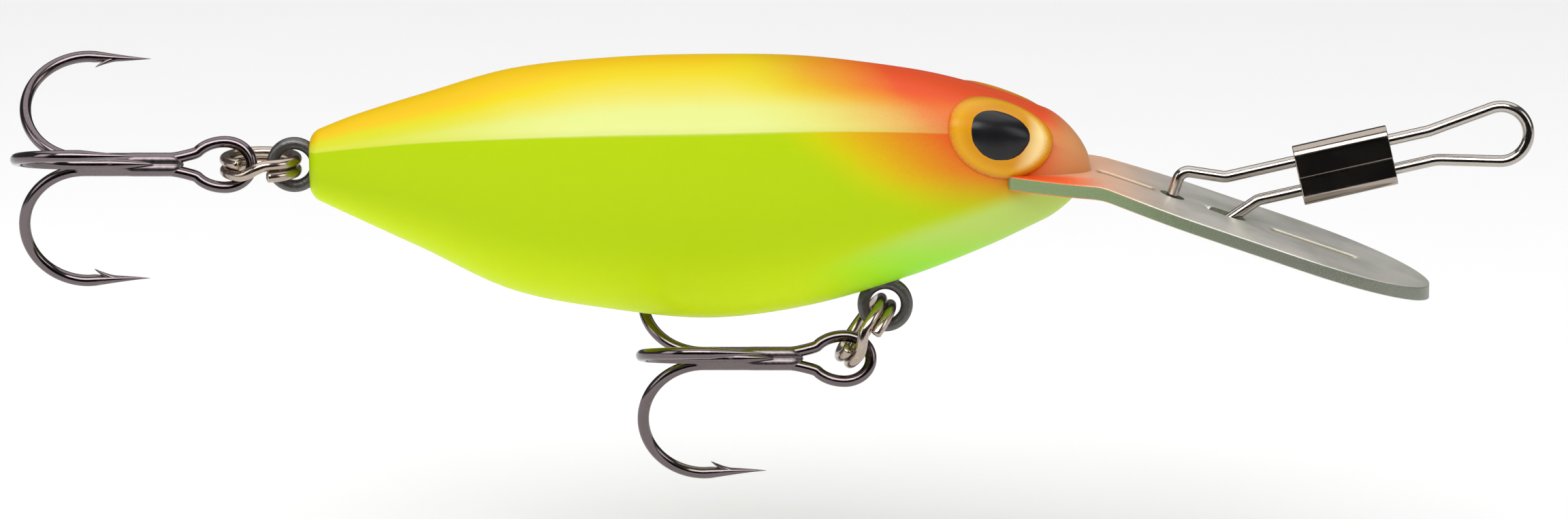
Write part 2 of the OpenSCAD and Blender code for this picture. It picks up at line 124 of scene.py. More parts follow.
class LureMetalSettings(bpy.types.PropertyGroup):
    """Sizes and finishes of the metal parts"""
    lip_thickness: length("Lip thickness", "Sheet thickness of the lip", 1.2, 0.8, 1.5)
    groove_depth: length("Groove depth", "Depth of the lip's pressed grooves", 0.34, 0.0, 0.4)
    link_wire: length("Link wire", "Diameter of the link's wire", 1.05, 0.8, 1.2)
    hook_wire: length("Hook wire", "Diameter of the hooks' wire", 1.05, 0.8, 1.2)
    ring_wire: length("Ring wire", "Diameter of the split rings' wire", 1.0, 0.7, 1.1)
    lip_metal: colour("Lip", "Grey of the plated lip", (0.82, 0.79, 0.73))
    nickel: colour("Nickel", "Nickel of the link", (0.46, 0.42, 0.38))
    # Nickel painted darker than the link's: a painted dark reflection on the sleeve's flat faces
    nickel_with_dark_reflection: colour("Dark nickel", "Smoked nickel of the sleeve", (0.36, 0.31, 0.27))
    black_nickel: colour("Black nickel", "Dark plating of the hooks", (0.165, 0.135, 0.143))
    ring_metal: colour("Ring metal", "Warm nickel of the split rings", (0.45, 0.37, 0.31))
    grey_metal: colour("Hanger metal", "Grey of the hangers", (0.13, 0.125, 0.12))


# ---------------------------------------------------------------- mesh helpers

def write_mesh(name, points, faces, uv=None, sharp=40.0):
    """A mesh object from points in millimetres and faces, smooth but for edges whose faces meet
    at more than the sharp angle in degrees."""
    mesh = bpy.data.meshes.new(name)
    mesh.from_pydata((np.asarray(points) * MM).tolist(), [], [tuple(f) for f in faces])
    if uv is not None:
        layer = mesh.uv_layers.new(name="skin")
        corner = np.zeros(len(mesh.loops), dtype=np.int32)
        mesh.loops.foreach_get("vertex_index", corner)
        layer.data.foreach_set("uv", np.asarray(uv)[corner].astype(np.float32).ravel())
    shape = bmesh.new()
    shape.from_mesh(mesh)
    bmesh.ops.remove_doubles(shape, verts=shape.verts, dist=2e-7)
    bmesh.ops.recalc_face_normals(shape, faces=shape.faces)
    shape.to_mesh(mesh)
    shape.free()
    mesh.polygons.foreach_set("use_smooth", [True] * len(mesh.polygons))
    mesh.set_sharp_from_angle(angle=math.radians(sharp))
    mesh.update()
    piece = bpy.data.objects.new(name, mesh)
    bpy.context.scene.collection.objects.link(piece)
    return piece


def grid_faces(rows, columns, wrap_rows=False, wrap_columns=False):
    """Quads between neighbouring rows and columns of a grid of points."""
    i = np.arange(rows if wrap_rows else rows - 1)[:, None]
    j = np.arange(columns if wrap_columns else columns - 1)[None, :]
    a = i * columns + j
    b = i * columns + (j + 1) % columns
    c = ((i + 1) % rows) * columns + (j + 1) % columns
    d = ((i + 1) % rows) * columns + j
    return np.stack([a, b, c, d], axis=-1).reshape(-1, 4).tolist()


def round_angles(count):
    """Even angles once round a circle."""
    return np.linspace(0, 2 * math.pi, count, endpoint=False)


def unit(vectors):
    """Vectors scaled to length one."""
    return vectors / np.linalg.norm(vectors, axis=-1, keepdims=True)


def tube(path, radius, across, sides=24):
    """Round wire: a circle of the given radius carried along the path, and closed by shallow
    domes. across is a direction that no part of the path runs along."""
    path = np.asarray(path, float)
    radius = np.broadcast_to(np.asarray(radius, float), (len(path),)).copy()
    heading = unit(np.gradient(path, axis=0))
    cap, depth = 3, 0.35
    dome = np.linspace(0.0, math.pi / 2, cap + 1)[1:]
    first, last = radius[0], radius[-1]
    head = path[0] - heading[0] * first * np.sin(dome[::-1, None]) * depth
    tail = path[-1] + heading[-1] * last * np.sin(dome[:, None]) * depth
    path = np.concatenate([head, path, tail])
    radius = np.concatenate([first * np.cos(dome[::-1]), radius, last * np.cos(dome)])
    heading = np.pad(heading, ((cap, cap), (0, 0)), mode="edge")
    side = unit(np.cross(heading, np.asarray(across, float)))
    up = np.cross(side, heading)
    turn = round_angles(sides)
    ring = (np.cos(turn)[None, :, None] * side[:, None, :]
            + np.sin(turn)[None, :, None] * up[:, None, :])
    points = path[:, None, :] + radius[:, None, None] * ring
    return points.reshape(-1, 3), grid_faces(len(path), sides, wrap_columns=True)


def join(parts):
    """One list of points and faces from several."""
    points, faces, count = [], [], 0
    for part_points, part_faces in parts:
        points.append(part_points)
        faces += [tuple(k + count for k in face) for face in part_faces]
        count += len(part_points)
    return np.concatenate(points), faces


def spaced(path, step):
    """The same path with points an even step apart."""
    path = np.asarray(path, float)
    run = np.concatenate([[0], np.cumsum(np.linalg.norm(np.diff(path, axis=0), axis=1))])
    at = np.linspace(0, run[-1], max(2, int(run[-1] / step) + 1))
    return np.stack([np.interp(at, run, path[:, k]) for k in range(path.shape[1])], axis=1)


def place(piece, material, body, slot, *nodes):
    """Gives a finished piece its material and its body, and hides the CAD nodes it stands for.
    The slot argument is not used."""
    piece.data.materials.append(material)
    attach(piece, body)
    if nodes:
        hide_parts(*nodes)


# ---------------------------------------------------------------- materials

def shade(tint, factor):
    """A colour made darker or lighter."""
    return tuple(min(1.0, v * factor) for v in tint)


def blend(a, b, share):
    """A colour between two, with share of the second."""
    return tuple((1 - share) * p + share * q for p, q in zip(a, b))


class Value:
    """A value inside a material, which takes part in sums as a number would."""

    def __init__(self, finish, socket):
        self.finish = finish
        self.socket = socket

    def __add__(self, other):
        return self.finish.maths("ADD", self, other)

    def __sub__(self, other):
        return self.finish.maths("SUBTRACT", self, other)

    def __mul__(self, other):
        return self.finish.maths("MULTIPLY", self, other)

    def __abs__(self):
        return self.finish.maths("ABSOLUTE", self)


class Finish:
    """A node material with a Principled shader and short calls for the nodes it needs."""

    def __init__(self, name):
        self.material = bpy.data.materials.new(name)
        self.material.use_nodes = True
        self.tree = self.material.node_tree
        self.shader = self.tree.nodes["Principled BSDF"]
        self.coords = self.tree.nodes.new("ShaderNodeTexCoord")

    def feed(self, socket, value):
        """Gives a socket a value, a number or a colour."""
        if isinstance(value, Value):
            self.tree.links.new(value.socket, socket)
        elif isinstance(value, tuple):
            socket.default_value = (*value, 1.0)
        else:
            socket.default_value = value

    def set(self, **values):
        """Feeds the shader's sockets; an underscore stands for a space."""
        for key, value in values.items():
            self.feed(self.shader.inputs[key.replace("_", " ")], value)

    def noise(self, scale, detail=3.0, roughness=0.5, stretch=None):
        """Noise over the piece, with scale in features a metre."""
        node = self.tree.nodes.new("ShaderNodeTexNoise")
        node.inputs["Scale"].default_value = scale
        node.inputs["Detail"].default_value = detail
        node.inputs["Roughness"].default_value = roughness
        source = self.coords.outputs["Object"]
        if stretch:
            mapping = self.tree.nodes.new("ShaderNodeMapping")
            mapping.inputs["Scale"].default_value = stretch
            self.tree.links.new(source, mapping.inputs["Vector"])
            source = mapping.outputs["Vector"]
        self.tree.links.new(source, node.inputs["Vector"])
        return Value(self, node.outputs["Fac"])

    def split(self, source):
        """The separate X, Y and Z of a vector."""
        node = self.tree.nodes.new("ShaderNodeSeparateXYZ")
        self.tree.links.new(source, node.inputs[0])
        return [Value(self, socket) for socket in node.outputs]

    def axes(self, space="Object"):
        """The separate X, Y and Z of the piece's coordinates."""
        return self.split(self.coords.outputs[space])

    def levelness(self):
        """1 where the surface faces up or down in the piece's own axes, and 0 on an edge."""
        surface = self.tree.nodes.new("ShaderNodeNewGeometry")
        turn = self.tree.nodes.new("ShaderNodeVectorTransform")
        turn.vector_type = "NORMAL"
        turn.convert_from = "WORLD"
        turn.convert_to = "OBJECT"
        self.tree.links.new(surface.outputs["True Normal"], turn.inputs[0])
        return abs(self.split(turn.outputs[0])[2])

    def maths(self, kind, *terms):
        """One sum on values or numbers."""
        node = self.tree.nodes.new("ShaderNodeMath")
        node.operation = kind
        for socket, term in zip(node.inputs, terms):
            self.feed(socket, term)
        return Value(self, node.outputs[0])

    def span(self, value, low, high, out_low=0.0, out_high=1.0, smooth=True):
        """Maps value from low..high to out_low..out_high, eased at both ends."""
        node = self.tree.nodes.new("ShaderNodeMapRange")
        node.interpolation_type = "SMOOTHSTEP" if smooth else "LINEAR"
        for key, number in (("Value", value), ("From Min", low), ("From Max", high),
                            ("To Min", out_low), ("To Max", out_high)):
            self.feed(node.inputs[key], number)
        return Value(self, node.outputs["Result"])

    def ramp(self, value, stops):
        """Colour bands: stops are (place, colour)."""
        node = self.tree.nodes.new("ShaderNodeValToRGB")
        band = node.color_ramp
        while len(band.elements) < len(stops):
            band.elements.new(0.5)
        for element, (at, tint) in zip(band.elements, stops):
            element.position = at
            element.color = (*tint, 1.0)
        self.feed(node.inputs["Fac"], value)
        return Value(self, node.outputs["Color"])

    def mix(self, factor, a, b):
        """Mixes two colours, each a value or a plain colour."""
        node = self.tree.nodes.new("ShaderNodeMix")
        node.data_type = "RGBA"
        colours = [socket for socket in node.inputs if socket.type == "RGBA"]
        for socket, value in zip([node.inputs["Factor"]] + colours, (factor, a, b)):
            self.feed(socket, value)
        return Value(self, next(socket for socket in node.outputs if socket.type == "RGBA"))

    def bump(self, height, strength, distance):
        """Fine relief from a height; distance is in metres."""
        node = self.tree.nodes.new("ShaderNodeBump")
        node.inputs["Strength"].default_value = strength
        node.inputs["Distance"].default_value = distance
        self.feed(node.inputs["Height"], height)
        self.set(Normal=Value(self, node.outputs["Normal"]))


def body_paint(tints):
    """Satin paint: yellow over the back, a pearl band above the widest line, a pale pearl tone
    under a painted highlight, and chartreuse below it. An orange-red head is sprayed on in a
    slanting fade, over a green throat and a tan snout.
    Places are metres along the piece's axes, or shares of the way round from back to belly."""
    finish = Finish("body_paint")
    x, _, z = finish.axes()
    around = finish.axes("UV")[1]
    speckle = finish.noise(7000.0, 2.0, 0.6)
    cloud = finish.noise(300.0, 3.0, 0.5)
    dust = (speckle - 0.5) * 0.22 + (cloud - 0.5) * 0.08
    # Bands from the back to the belly, which squeeze together towards the tail
    height = around + dust * finish.span(around, 0.47, 0.49, 0.30, 0.0)
    height = (height - 0.5) * finish.span(x, -0.078, -0.108, 1.0, 2.0) + 0.5
    # The pearl stops paint a pale pearl tone under a painted highlight, sharp-edged at the widest
    # line
    coat = finish.ramp(height, [
        (0.0, tints.ridge), (0.06, tints.ridge), (0.17, tints.back),
        (0.27, blend(tints.back, tints.pearl_highlight, 0.38)), (0.36, tints.pearl_highlight), (0.494, tints.pearl_highlight),
        (0.506, tints.flank)])
    # The belly is painted lighter, as painted fill light for the shade under the body
    coat = finish.mix(finish.span(around, 0.68, 0.92), coat, tints.belly)
    # band marks the pearl band, where the painted highlight lies
    band = finish.span(around, 0.20, 0.36) * finish.span(around, 0.506, 0.494)
    # dull fades the pearl band's painted highlight into the tail tint towards the tail
    dull = band * finish.span(x, -0.080, -0.104, 0.0, 0.85)
    coat = finish.mix(dull, coat, tints.tail)
    # Spray over the head: fuller low on the flank than across the pearl band, where it stays
    # thinner so part of the painted highlight shows through
    slant = x + z * 1.2 + dust * 0.014
    warm = finish.ramp(finish.span(slant, -0.0640, -0.0450, smooth=False), [
        (0.0, tints.spray), (0.22, tints.spray), (0.40, blend(tints.spray, tints.cheek, 0.5)),
        (0.55, tints.cheek), (0.86, tints.head)])
    thin = finish.span(slant, -0.0635, -0.0465, 0.0, 0.84, smooth=False)
    low = finish.span(slant, -0.0640, -0.0560) * finish.span(z, -0.0078, -0.0016)
    coat = finish.mix((thin - low) * band + low, coat, warm)
    # Throat, which rises towards the snout, and a lighter tan over the snout above the lip
    under = x * 0.35 - z + dust * 0.003
    throat = finish.span(x, -0.064, -0.052) * finish.span(under, -0.0115, -0.0092)
    green = finish.mix(finish.span(z, -0.0070, -0.0125), tints.chin, tints.throat)
    coat = finish.mix(throat * 0.92, coat, green)
    bare = finish.span(x + z * -0.45 + dust * 0.006, -0.0424, -0.0378)
    coat = finish.mix(bare * finish.span(z, -0.0046, -0.0036), coat, tints.snout)
    finish.set(Base_Color=coat, Roughness=0.36, Specular_IOR_Level=0.12)
    finish.bump(speckle, 0.10, 0.00002)
    return finish.material


def grained_metal(name, tint, rough, grain_scale, grain_depth):
    """Plated metal with grain: noise drives its colour, roughness and relief."""
    finish = Finish(name)
    grain = finish.noise(grain_scale, 4.0, 0.6)
    broad = finish.noise(260.0, 3.0, 0.5)
    coat = finish.mix(broad, finish.mix(grain, shade(tint, 0.80), tint), shade(tint, 1.12))
    finish.set(Base_Color=coat, Roughness=(grain - 0.5) * 0.22 + rough, Metallic=1.0)
    finish.bump(grain, 0.35, grain_depth)
    return finish.material


def lip_metal(tint):
    """Satin plated sheet: orange overspray by the head, grooves painted a dark brass as painted
    shade in the channels, and an edge painted dark as a painted reflection, greenish by the head
    as a painted reflection of the green body."""
    finish = Finish("lip_metal")
    x, y, _ = finish.axes()
    grain = finish.noise(5200.0, 4.0, 0.65)
    fine = finish.noise(14000.0, 2.0, 0.7)
    broad = finish.noise(240.0, 3.0, 0.5)
    coat = finish.mix(grain, shade(tint, 0.86), shade(tint, 1.1))
    coat = finish.mix(finish.span(broad, 0.35, 0.75), coat, (0.62, 0.62, 0.54))
    drift = x + grain * -0.005
    overspray = finish.span(drift, -0.0300, -0.0395)
    coat = finish.mix(overspray * 0.80, coat, (0.80, 0.38, 0.19))
    red = finish.span(drift, -0.0372, -0.0420) * finish.span(y, -0.0026, -0.0048)
    coat = finish.mix(red, coat, (0.86, 0.11, 0.02))
    # The pressed grooves are painted a dark brass: painted shade in the channels
    rear = finish.span(x, -0.0364, -0.0358) * finish.span(x, -0.0306, -0.0312)
    front = finish.span(x, -0.0208, -0.0202) * finish.span(x, -0.0126, -0.0132)
    groove = finish.span(abs(y), 0.00072, 0.00048) * finish.maths("MAXIMUM", rear, front) * 0.9
    coat = finish.mix(groove, coat, (0.17, 0.12, 0.045))
    # The edge is painted dark, a painted reflection, and greenish by the head, a painted
    # reflection of the green body, with speckled grain over it
    edge = finish.span(finish.levelness(), 0.62, 0.35)
    edge_reflection_and_grain = finish.mix(finish.span(x, -0.044, -0.018), (0.14, 0.28, 0.035), (0.13, 0.14, 0.11))
    edge_reflection_and_grain = finish.mix(finish.span(fine, 0.35, 0.65), edge_reflection_and_grain, (0.23, 0.24, 0.19))
    coat = finish.mix(edge, coat, edge_reflection_and_grain)
    shine = (finish.span(overspray, 0.0, 1.0, 0.60, 0.15) * finish.span(edge, 0.0, 1.0, 1.0, 0.5)
             * finish.span(groove, 0.0, 1.0, 1.0, 0.1))
    finish.set(Base_Color=coat, Roughness=grain * 0.20 + 0.26, Metallic=shine)
    finish.bump(grain + fine * 0.5, 0.35, 0.00004)
    return finish.material


def eye_paint(tints):
    """Amber eye with a darker rim, a lighter band on the rim's shoulder that is a painted
    highlight, and a cream painted highlight ahead of the pupil.
    """
    finish = Finish("eye_paint")
    ahead, reach, _ = finish.axes("UV")
    speckle = finish.noise(5200.0, 2.0, 0.6)
    reach = reach + (speckle - 0.5) * 0.10
    # The lighter amber stop at 0.86, where the rim turns down, is a painted highlight
    rim = finish.ramp(reach, [
        (0.0, tints.iris), (0.70, tints.iris), (0.86, (0.62, 0.30, 0.008)),
        (0.955, (0.58, 0.24, 0.005)), (0.985, (0.56, 0.12, 0.005))])
    # Cream painted highlight on the eye's face ahead of the pupil
    painted_eye_highlight = finish.span(ahead, 0.66, 0.86) * finish.span(reach, 0.90, 0.74)
    finish.set(Base_Color=finish.mix(painted_eye_highlight, rim, tints.painted_eye_highlight), Roughness=0.34,
               Specular_IOR_Level=0.22)
    finish.bump(speckle, 0.08, 0.00002)
    return finish.material


def pupil_gloss(tint):
    """Glossy black lacquer."""
    finish = Finish("pupil_gloss")
    mottled = finish.noise(900.0, 2.0)
    finish.set(Base_Color=finish.mix(mottled, tint, shade(tint, 2.5)), Roughness=0.30,
               Specular_IOR_Level=0.30)
    finish.bump(mottled, 0.03, 0.00002)
    return finish.material


def bright_wire(name, tint, rough, scratch):
    """Drawn, plated wire: smooth metal with fine scratches and dull patches."""
    finish = Finish(name)
    scratches = finish.noise(2600.0, 5.0, 0.75, (0.35, 1.0, 1.0))
    patches = finish.noise(420.0, 3.0, 0.6)
    worn = finish.span(scratches, 0.56, 0.72)
    coat = finish.mix(worn, finish.mix(patches, shade(tint, 0.85), tint), shade(tint, 1.25))
    dulled = finish.span(patches, 0.3, 0.8, rough, rough + 0.10)
    finish.set(Base_Color=coat, Roughness=worn * (scratch * 0.25) + dulled, Metallic=1.0)
    finish.bump(scratches, 0.12 + 0.2 * scratch, 0.00002)
    return finish.material


# ---------------------------------------------------------------- body shells

TAIL_ROUND = 0.9
SNOUT_ROUND = 4.2
NOSE_Z = -3.2
UPPER_POWER, HEAD_POWER, LOWER_POWER = 1.6, 2.2, 1.7
HEAD_FROM, HEAD_TO = 48.0, 60.0
# Distance from the tail; heights of the back, the widest line and the belly; half width
STATIONS = np.array([
    (0, 0.1, -1.3, -5.7, 2.6), (4, 1.7, -0.6, -7.6, 3.9), (10, 3.6, 0.3, -10.4, 5.8),
    (18, 5.9, 1.1, -14.2, 7.9), (27, 6.9, 1.6, -16.0, 9.0), (36, 7.2, 1.8, -16.8, 9.2),
    (45, 7.0, 1.9, -15.6, 8.7), (54, 5.75, 1.6, -12.9, 7.6), (61, 3.95, 1.0, -10.1, 6.2),
    (66, 2.2, 0.0, -7.7, 4.3), (70.2, 0.6, -1.2, -5.7, 2.6)])
BODY_LENGTH = 70.0
# Half width of the seam's groove, and half the gap between the shells
SEAM_HALF, PARTING_GAP = 0.16, 0.004


def along(distance, column):
    """Smooth curve through one column of the stations: cubic pieces whose slope at each station
    is that of the line between its neighbours."""
    at, value = STATIONS[:, 0], STATIONS[:, column]
    before = np.concatenate([[0], np.arange(len(at) - 1)])
    after = np.concatenate([np.arange(1, len(at)), [len(at) - 1]])
    slope = (value[after] - value[before]) / (at[after] - at[before])
    i = np.clip(np.searchsorted(at, distance, side="right") - 1, 0, len(at) - 2)
    step = at[i + 1] - at[i]
    t = (distance - at[i]) / step
    return ((2 * t**3 - 3 * t**2 + 1) * value[i] + (t**3 - 2 * t**2 + t) * step * slope[i]
            + (3 * t**2 - 2 * t**3) * value[i + 1] + (t**3 - t**2) * step * slope[i + 1])


def section_sizes(distance, inset):
    """Height of the widest line, the heights above and below it, the half width and the upper
    power of the section at a distance from the tail, all inset by a wall."""
    part = np.sqrt(np.clip(1 - np.clip((distance - BODY_LENGTH + SNOUT_ROUND) / SNOUT_ROUND, 0, 1)
                           ** 2, 0, 1))
    edge = np.clip(1 - distance / TAIL_ROUND, 0, 1)
    cut = TAIL_ROUND * (1 - np.sqrt(1 - edge**2)) + inset
    chine = NOSE_Z + (along(distance, 2) - NOSE_Z) * part
    up = np.maximum((along(distance, 1) - NOSE_Z) * part + NOSE_Z - chine - cut, 0.0)
    down = np.maximum(chine - NOSE_Z + (NOSE_Z - along(distance, 3)) * part - cut, 0.0)
    half = np.maximum(along(distance, 4) * part - cut, 0.0)
    t = np.clip((distance - HEAD_FROM) / (HEAD_TO - HEAD_FROM), 0, 1)
    power = UPPER_POWER + (HEAD_POWER - UPPER_POWER) * t * t * (3 - 2 * t)
    return chine, up, down, half, power


def body_skin(distance, angle, inset, shrink, side):
    """Points of the skin. Each section is a superellipse above and below the widest line, angle
    runs from the back (0) to the belly (pi), the snout closes as a quarter circle and the tail's
    edge is rounded. shrink pulls a section to its middle to close the flat of the tail."""
    distance = np.asarray(distance, float)[:, None]
    shrink = np.asarray(shrink, float)[:, None]
    angle = np.asarray(angle, float)[None, :]
    chine, up, down, half, power = section_sizes(distance, inset)
    upper = np.cos(angle) > 0
    bow = 2 / np.where(upper, power, LOWER_POWER)
    y = half * np.abs(np.sin(angle)) ** bow
    lift = np.sign(np.cos(angle)) * np.abs(np.cos(angle)) ** bow
    z = chine + np.where(upper, up, down) * lift
    middle = chine + (up - down) / 2
    return np.stack([np.broadcast_to(TAIL_X + distance, y.shape), side * y * shrink,
                     middle + (z - middle) * shrink], axis=-1)


def outside(points, inset):
    """Whether points lie outside the skin inset by a wall, from the superellipse's own sum."""
    chine, up, down, half, power = section_sizes(points[..., 0] - TAIL_X, inset)
    rise = points[..., 2] - chine
    bow = np.where(rise > 0, power, LOWER_POWER)
    tall = np.maximum(np.where(rise > 0, up, down), 0.05)
    wide = np.maximum(half, 0.05)
    return (np.abs(points[..., 1]) / wide) ** bow + (np.abs(rise) / tall) ** bow > 1


def body_rows():
    """Distances from the tail and the shrink of each row: the tail's flat, its rounded edge, the
    flanks, and the snout, which closes on itself."""
    flat = np.linspace(0, 1, 6)[:-1]
    edge = TAIL_ROUND * (1 - np.cos(np.linspace(0, math.pi / 2, 10)))
    flank = np.linspace(TAIL_ROUND, BODY_LENGTH - SNOUT_ROUND, 190)[1:]
    snout = BODY_LENGTH - SNOUT_ROUND * (1 - np.sin(np.linspace(0, math.pi / 2, 44)))[1:]
    distance = np.concatenate([np.zeros(len(flat)), edge, flank, snout])
    shrink = np.concatenate([flat, np.ones(len(distance) - len(flat))])
    return distance, shrink


def shell_half(side, body):
    """One hollow half of the body: the outer skin and the inner one, a wall apart, closed along
    the parting plane and pulled in slightly there to leave a seam."""
    wall = body.wall
    distance, shrink = body_rows()
    t = np.linspace(0, 1, 61)
    quarter = math.pi / 2 * (t - 0.11 * np.sin(2 * math.pi * t))
    angle = np.concatenate([quarter, math.pi / 2 + quarter[1:]])
    outer = body_skin(distance, angle, 0.0, shrink, side)
    inner = body_skin(np.clip(distance, wall, BODY_LENGTH - 1.5 * wall), angle, wall, shrink, side)
    near = np.exp(-(outer[..., 1] / SEAM_HALF) ** 2) * body.seam
    outer[..., 2] -= near * np.sign(np.cos(angle))[None, :] * (shrink[:, None] > 0.99)
    outer[..., 1] = side * np.maximum(np.abs(outer[..., 1]), PARTING_GAP)
    points = np.concatenate([outer, inner[:, ::-1]], axis=1)
    rows, columns = points.shape[:2]
    share = np.concatenate([angle, angle[::-1]]) / math.pi
    uv = np.stack(np.broadcast_arrays((distance / BODY_LENGTH)[:, None], share[None, :]), axis=-1)
    faces = grid_faces(rows, columns, wrap_columns=True)
    return points.reshape(-1, 3), faces, uv.reshape(-1, 2)


# ---------------------------------------------------------------- eyes

# The left eye's middle, and the degrees that the eyes turn, lean and tilt in their plane
EYE_AT = np.array([-45.15, 5.0, 0.76])
EYE_YAW, EYE_LIFT, EYE_TILT = 21.0, 16.0, 20.0
PUPIL_SHIFT, PUPIL_WAVE = (-0.30, 0.10), 0.005


def turned(points, axis, degrees):
    """Points turned about an axis through the origin."""
    a = math.radians(degrees)
    i, j = {"x": (1, 2), "y": (2, 0), "z": (0, 1)}[axis]
    out = np.array(points, float)
    out[..., i] = points[..., i] * math.cos(a) - points[..., j] * math.sin(a)
    out[..., j] = points[..., i] * math.sin(a) + points[..., j] * math.cos(a)
    return out


def on_flank(u, v, height):
    """A point of the eye on the right flank: u along its oval, v across, height outwards."""
    out = turned(np.stack(np.broadcast_arrays(u, v, height), axis=-1), "z", -EYE_TILT)
    out = turned(turned(out, "x", 90 - EYE_LIFT), "z", EYE_YAW)
    return out + EYE_AT * (1, -1, 1)


def skin_height(u, v, inset):
    """Height at which a line square to the eye meets the inset skin, by halving the interval."""
    low, high = np.full(np.shape(u), -3.0), np.full(np.shape(u), 6.0)
    for _ in range(36):
        middle = (low + high) / 2
        out = outside(on_flank(u, v, middle), inset)
        low, high = np.where(out, low, middle), np.where(out, middle, high)
    return low


def oval_patch(half_long, half_short, share, rise, raised, side, shift=(0.0, 0.0), wave=0.0):
    """A raised oval that follows the head: rings grow from its middle by share, and each stands
    rise of the way from the skin to the skin raised by the given height, and lower towards its
    upper edge. The rim turns down into the shell, and wave adds small ripples to the rim."""
    turn = round_angles(120)[None, :]
    share, rise = share[:, None], rise[:, None]
    ripple = 1 + wave * (np.sin(7 * turn + 0.6) + 0.7 * np.sin(13 * turn + 2.0)
                         + 0.5 * np.sin(29 * turn)) * share
    u = shift[0] + half_long * share * ripple * np.cos(turn)
    v = shift[1] + half_short * share * ripple * np.sin(turn)
    low = skin_height(u, v, 0.0)
    ease = 1 - 0.5 * np.clip(v / half_short, 0, 1) ** 2 * share
    points = on_flank(u, v, low + (skin_height(u, v, -raised) - low) * rise * ease)
    points[..., 1] *= -side
    uv = np.stack(np.broadcast_arrays(0.5 + 0.5 * share * np.cos(turn), share), axis=-1)
    faces = grid_faces(*points.shape[:2], wrap_columns=True)
    return points.reshape(-1, 3), faces, uv.reshape(-1, 2)


def eye_rings():
    """Share of the radius and rise of the eye's rings: a gentle dome, a rounded rim, a base."""
    face = 0.84
    dome = np.linspace(0.0, face, 16)
    bend = np.linspace(0.0, math.pi / 2, 12)[1:]
    share = np.concatenate([dome, face + (1 - face) * np.sin(bend), [1.0, 0.5, 0.0]])
    rise = np.concatenate([1.0 + 0.35 * (face**2 - dome**2), 1.0 - 1.15 * (1 - np.cos(bend)),
                           [-0.9, -1.1, -1.1]])
    return share, rise


def pupil_rings():
    """Share and rise of the pupil's rings: a dome that starts at the eye's face."""
    bend = np.linspace(0.0, math.pi / 2, 22)
    share = np.concatenate([np.sin(bend), [1.0, 0.0]])
    rise = np.concatenate([1.02 + 0.80 * np.cos(bend), [0.4, 0.4]])
    return share, rise


# ---------------------------------------------------------------- lip

ROOT_ANGLE, BLADE_ANGLE = math.radians(4), math.radians(19)
BEND_X, BEND_Z, BEND_R = -35.9, -3.35, 8.0
LIP_BACK, TONGUE_BACK, TONGUE_HALF = -44.2, -50.2, 3.0
TIP_X, TIP_FROM, BLADE_HALF = -6.2, -19.0, 9.0
HOLE_S, SLOT_FROM, SLOT_TO, HOLE_R = 6.9, 11.5, 12.7, 1.1
BEND_HALF = BEND_R * math.tan((BLADE_ANGLE - ROOT_ANGLE) / 2)
# Half widths at the root's back and at the bend, the radius of the root's corners, and the
# length over which the blade widens
ROOT_HALF, KNEE_HALF, ROOT_CORNER, FLARE = 5.6, 7.3, 0.5, 9.0
# Places along X of the round hole and of the slot's ends
HOLE_X, SLOT_BACK_X, SLOT_FRONT_X = (BEND_X + s * math.cos(BLADE_ANGLE)
                                     for s in (HOLE_S, SLOT_FROM, SLOT_TO))
# Where the pressed grooves start and end. The middle one isn't pressed through to the underside.
GROOVES = ((-36.2, -30.9), (-26.6, -25.0), (-20.6, -12.6))
GROOVE_HALF, GROOVE_EASE, LIP_ROUND = 0.58, 0.5, 0.16


def lip_top(x):
    """Height of the lip's upper face: the level root, an arc, then the sloping blade."""
    x = np.asarray(x, float)
    start = BEND_X - BEND_HALF * math.cos(ROOT_ANGLE)
    start_z = BEND_Z + BEND_HALF * math.sin(ROOT_ANGLE)
    lean = np.clip((x - start) / BEND_R + math.sin(ROOT_ANGLE), math.sin(ROOT_ANGLE),
                   math.sin(BLADE_ANGLE))
    arc = start_z + BEND_R * (np.sqrt(1 - lean**2) - math.cos(ROOT_ANGLE))
    end = start + BEND_R * (math.sin(BLADE_ANGLE) - math.sin(ROOT_ANGLE))
    return np.where(x < start, BEND_Z - (x - BEND_X) * math.tan(ROOT_ANGLE),
                    np.where(x > end, BEND_Z - (x - BEND_X) * math.tan(BLADE_ANGLE), arc))


def lip_half(x):
    """Half width of the lip: the tongue, the root that widens, the blade and its oval tip."""
    x = np.asarray(x, float)
    root = ROOT_HALF + (KNEE_HALF - ROOT_HALF) * np.sin(
        math.pi / 2 * (x - LIP_BACK) / (BEND_X - LIP_BACK))
    blade = KNEE_HALF + (BLADE_HALF - KNEE_HALF) * np.sin(
        math.pi / 2 * np.clip((x - BEND_X) / FLARE, 0, 1))
    tip = BLADE_HALF * np.sqrt(np.clip(1 - np.clip((x - TIP_FROM) / (TIP_X - TIP_FROM), 0, 1)
                                       ** 2.3, 0, 1))
    corner = np.clip((x - LIP_BACK) / ROOT_CORNER, 0, 1)
    root = root - ROOT_CORNER * (1 - np.sqrt(1 - (1 - corner) ** 2))
    return np.where(x < LIP_BACK, TONGUE_HALF,
                    np.where(x < BEND_X, root, np.where(x < TIP_FROM, blade, tip)))


def hole_half(x):
    """Half width of the round hole or of the slot at x, and 0 elsewhere."""
    x = np.asarray(x, float)
    hole = np.sqrt(np.clip(HOLE_R**2 - (x - HOLE_X) ** 2, 0, None))
    past = np.maximum(SLOT_BACK_X - x, x - SLOT_FRONT_X).clip(0, None)
    slot = np.sqrt(np.clip(HOLE_R**2 - past**2, 0, None)) * (past < HOLE_R)
    return np.maximum(hole, slot)


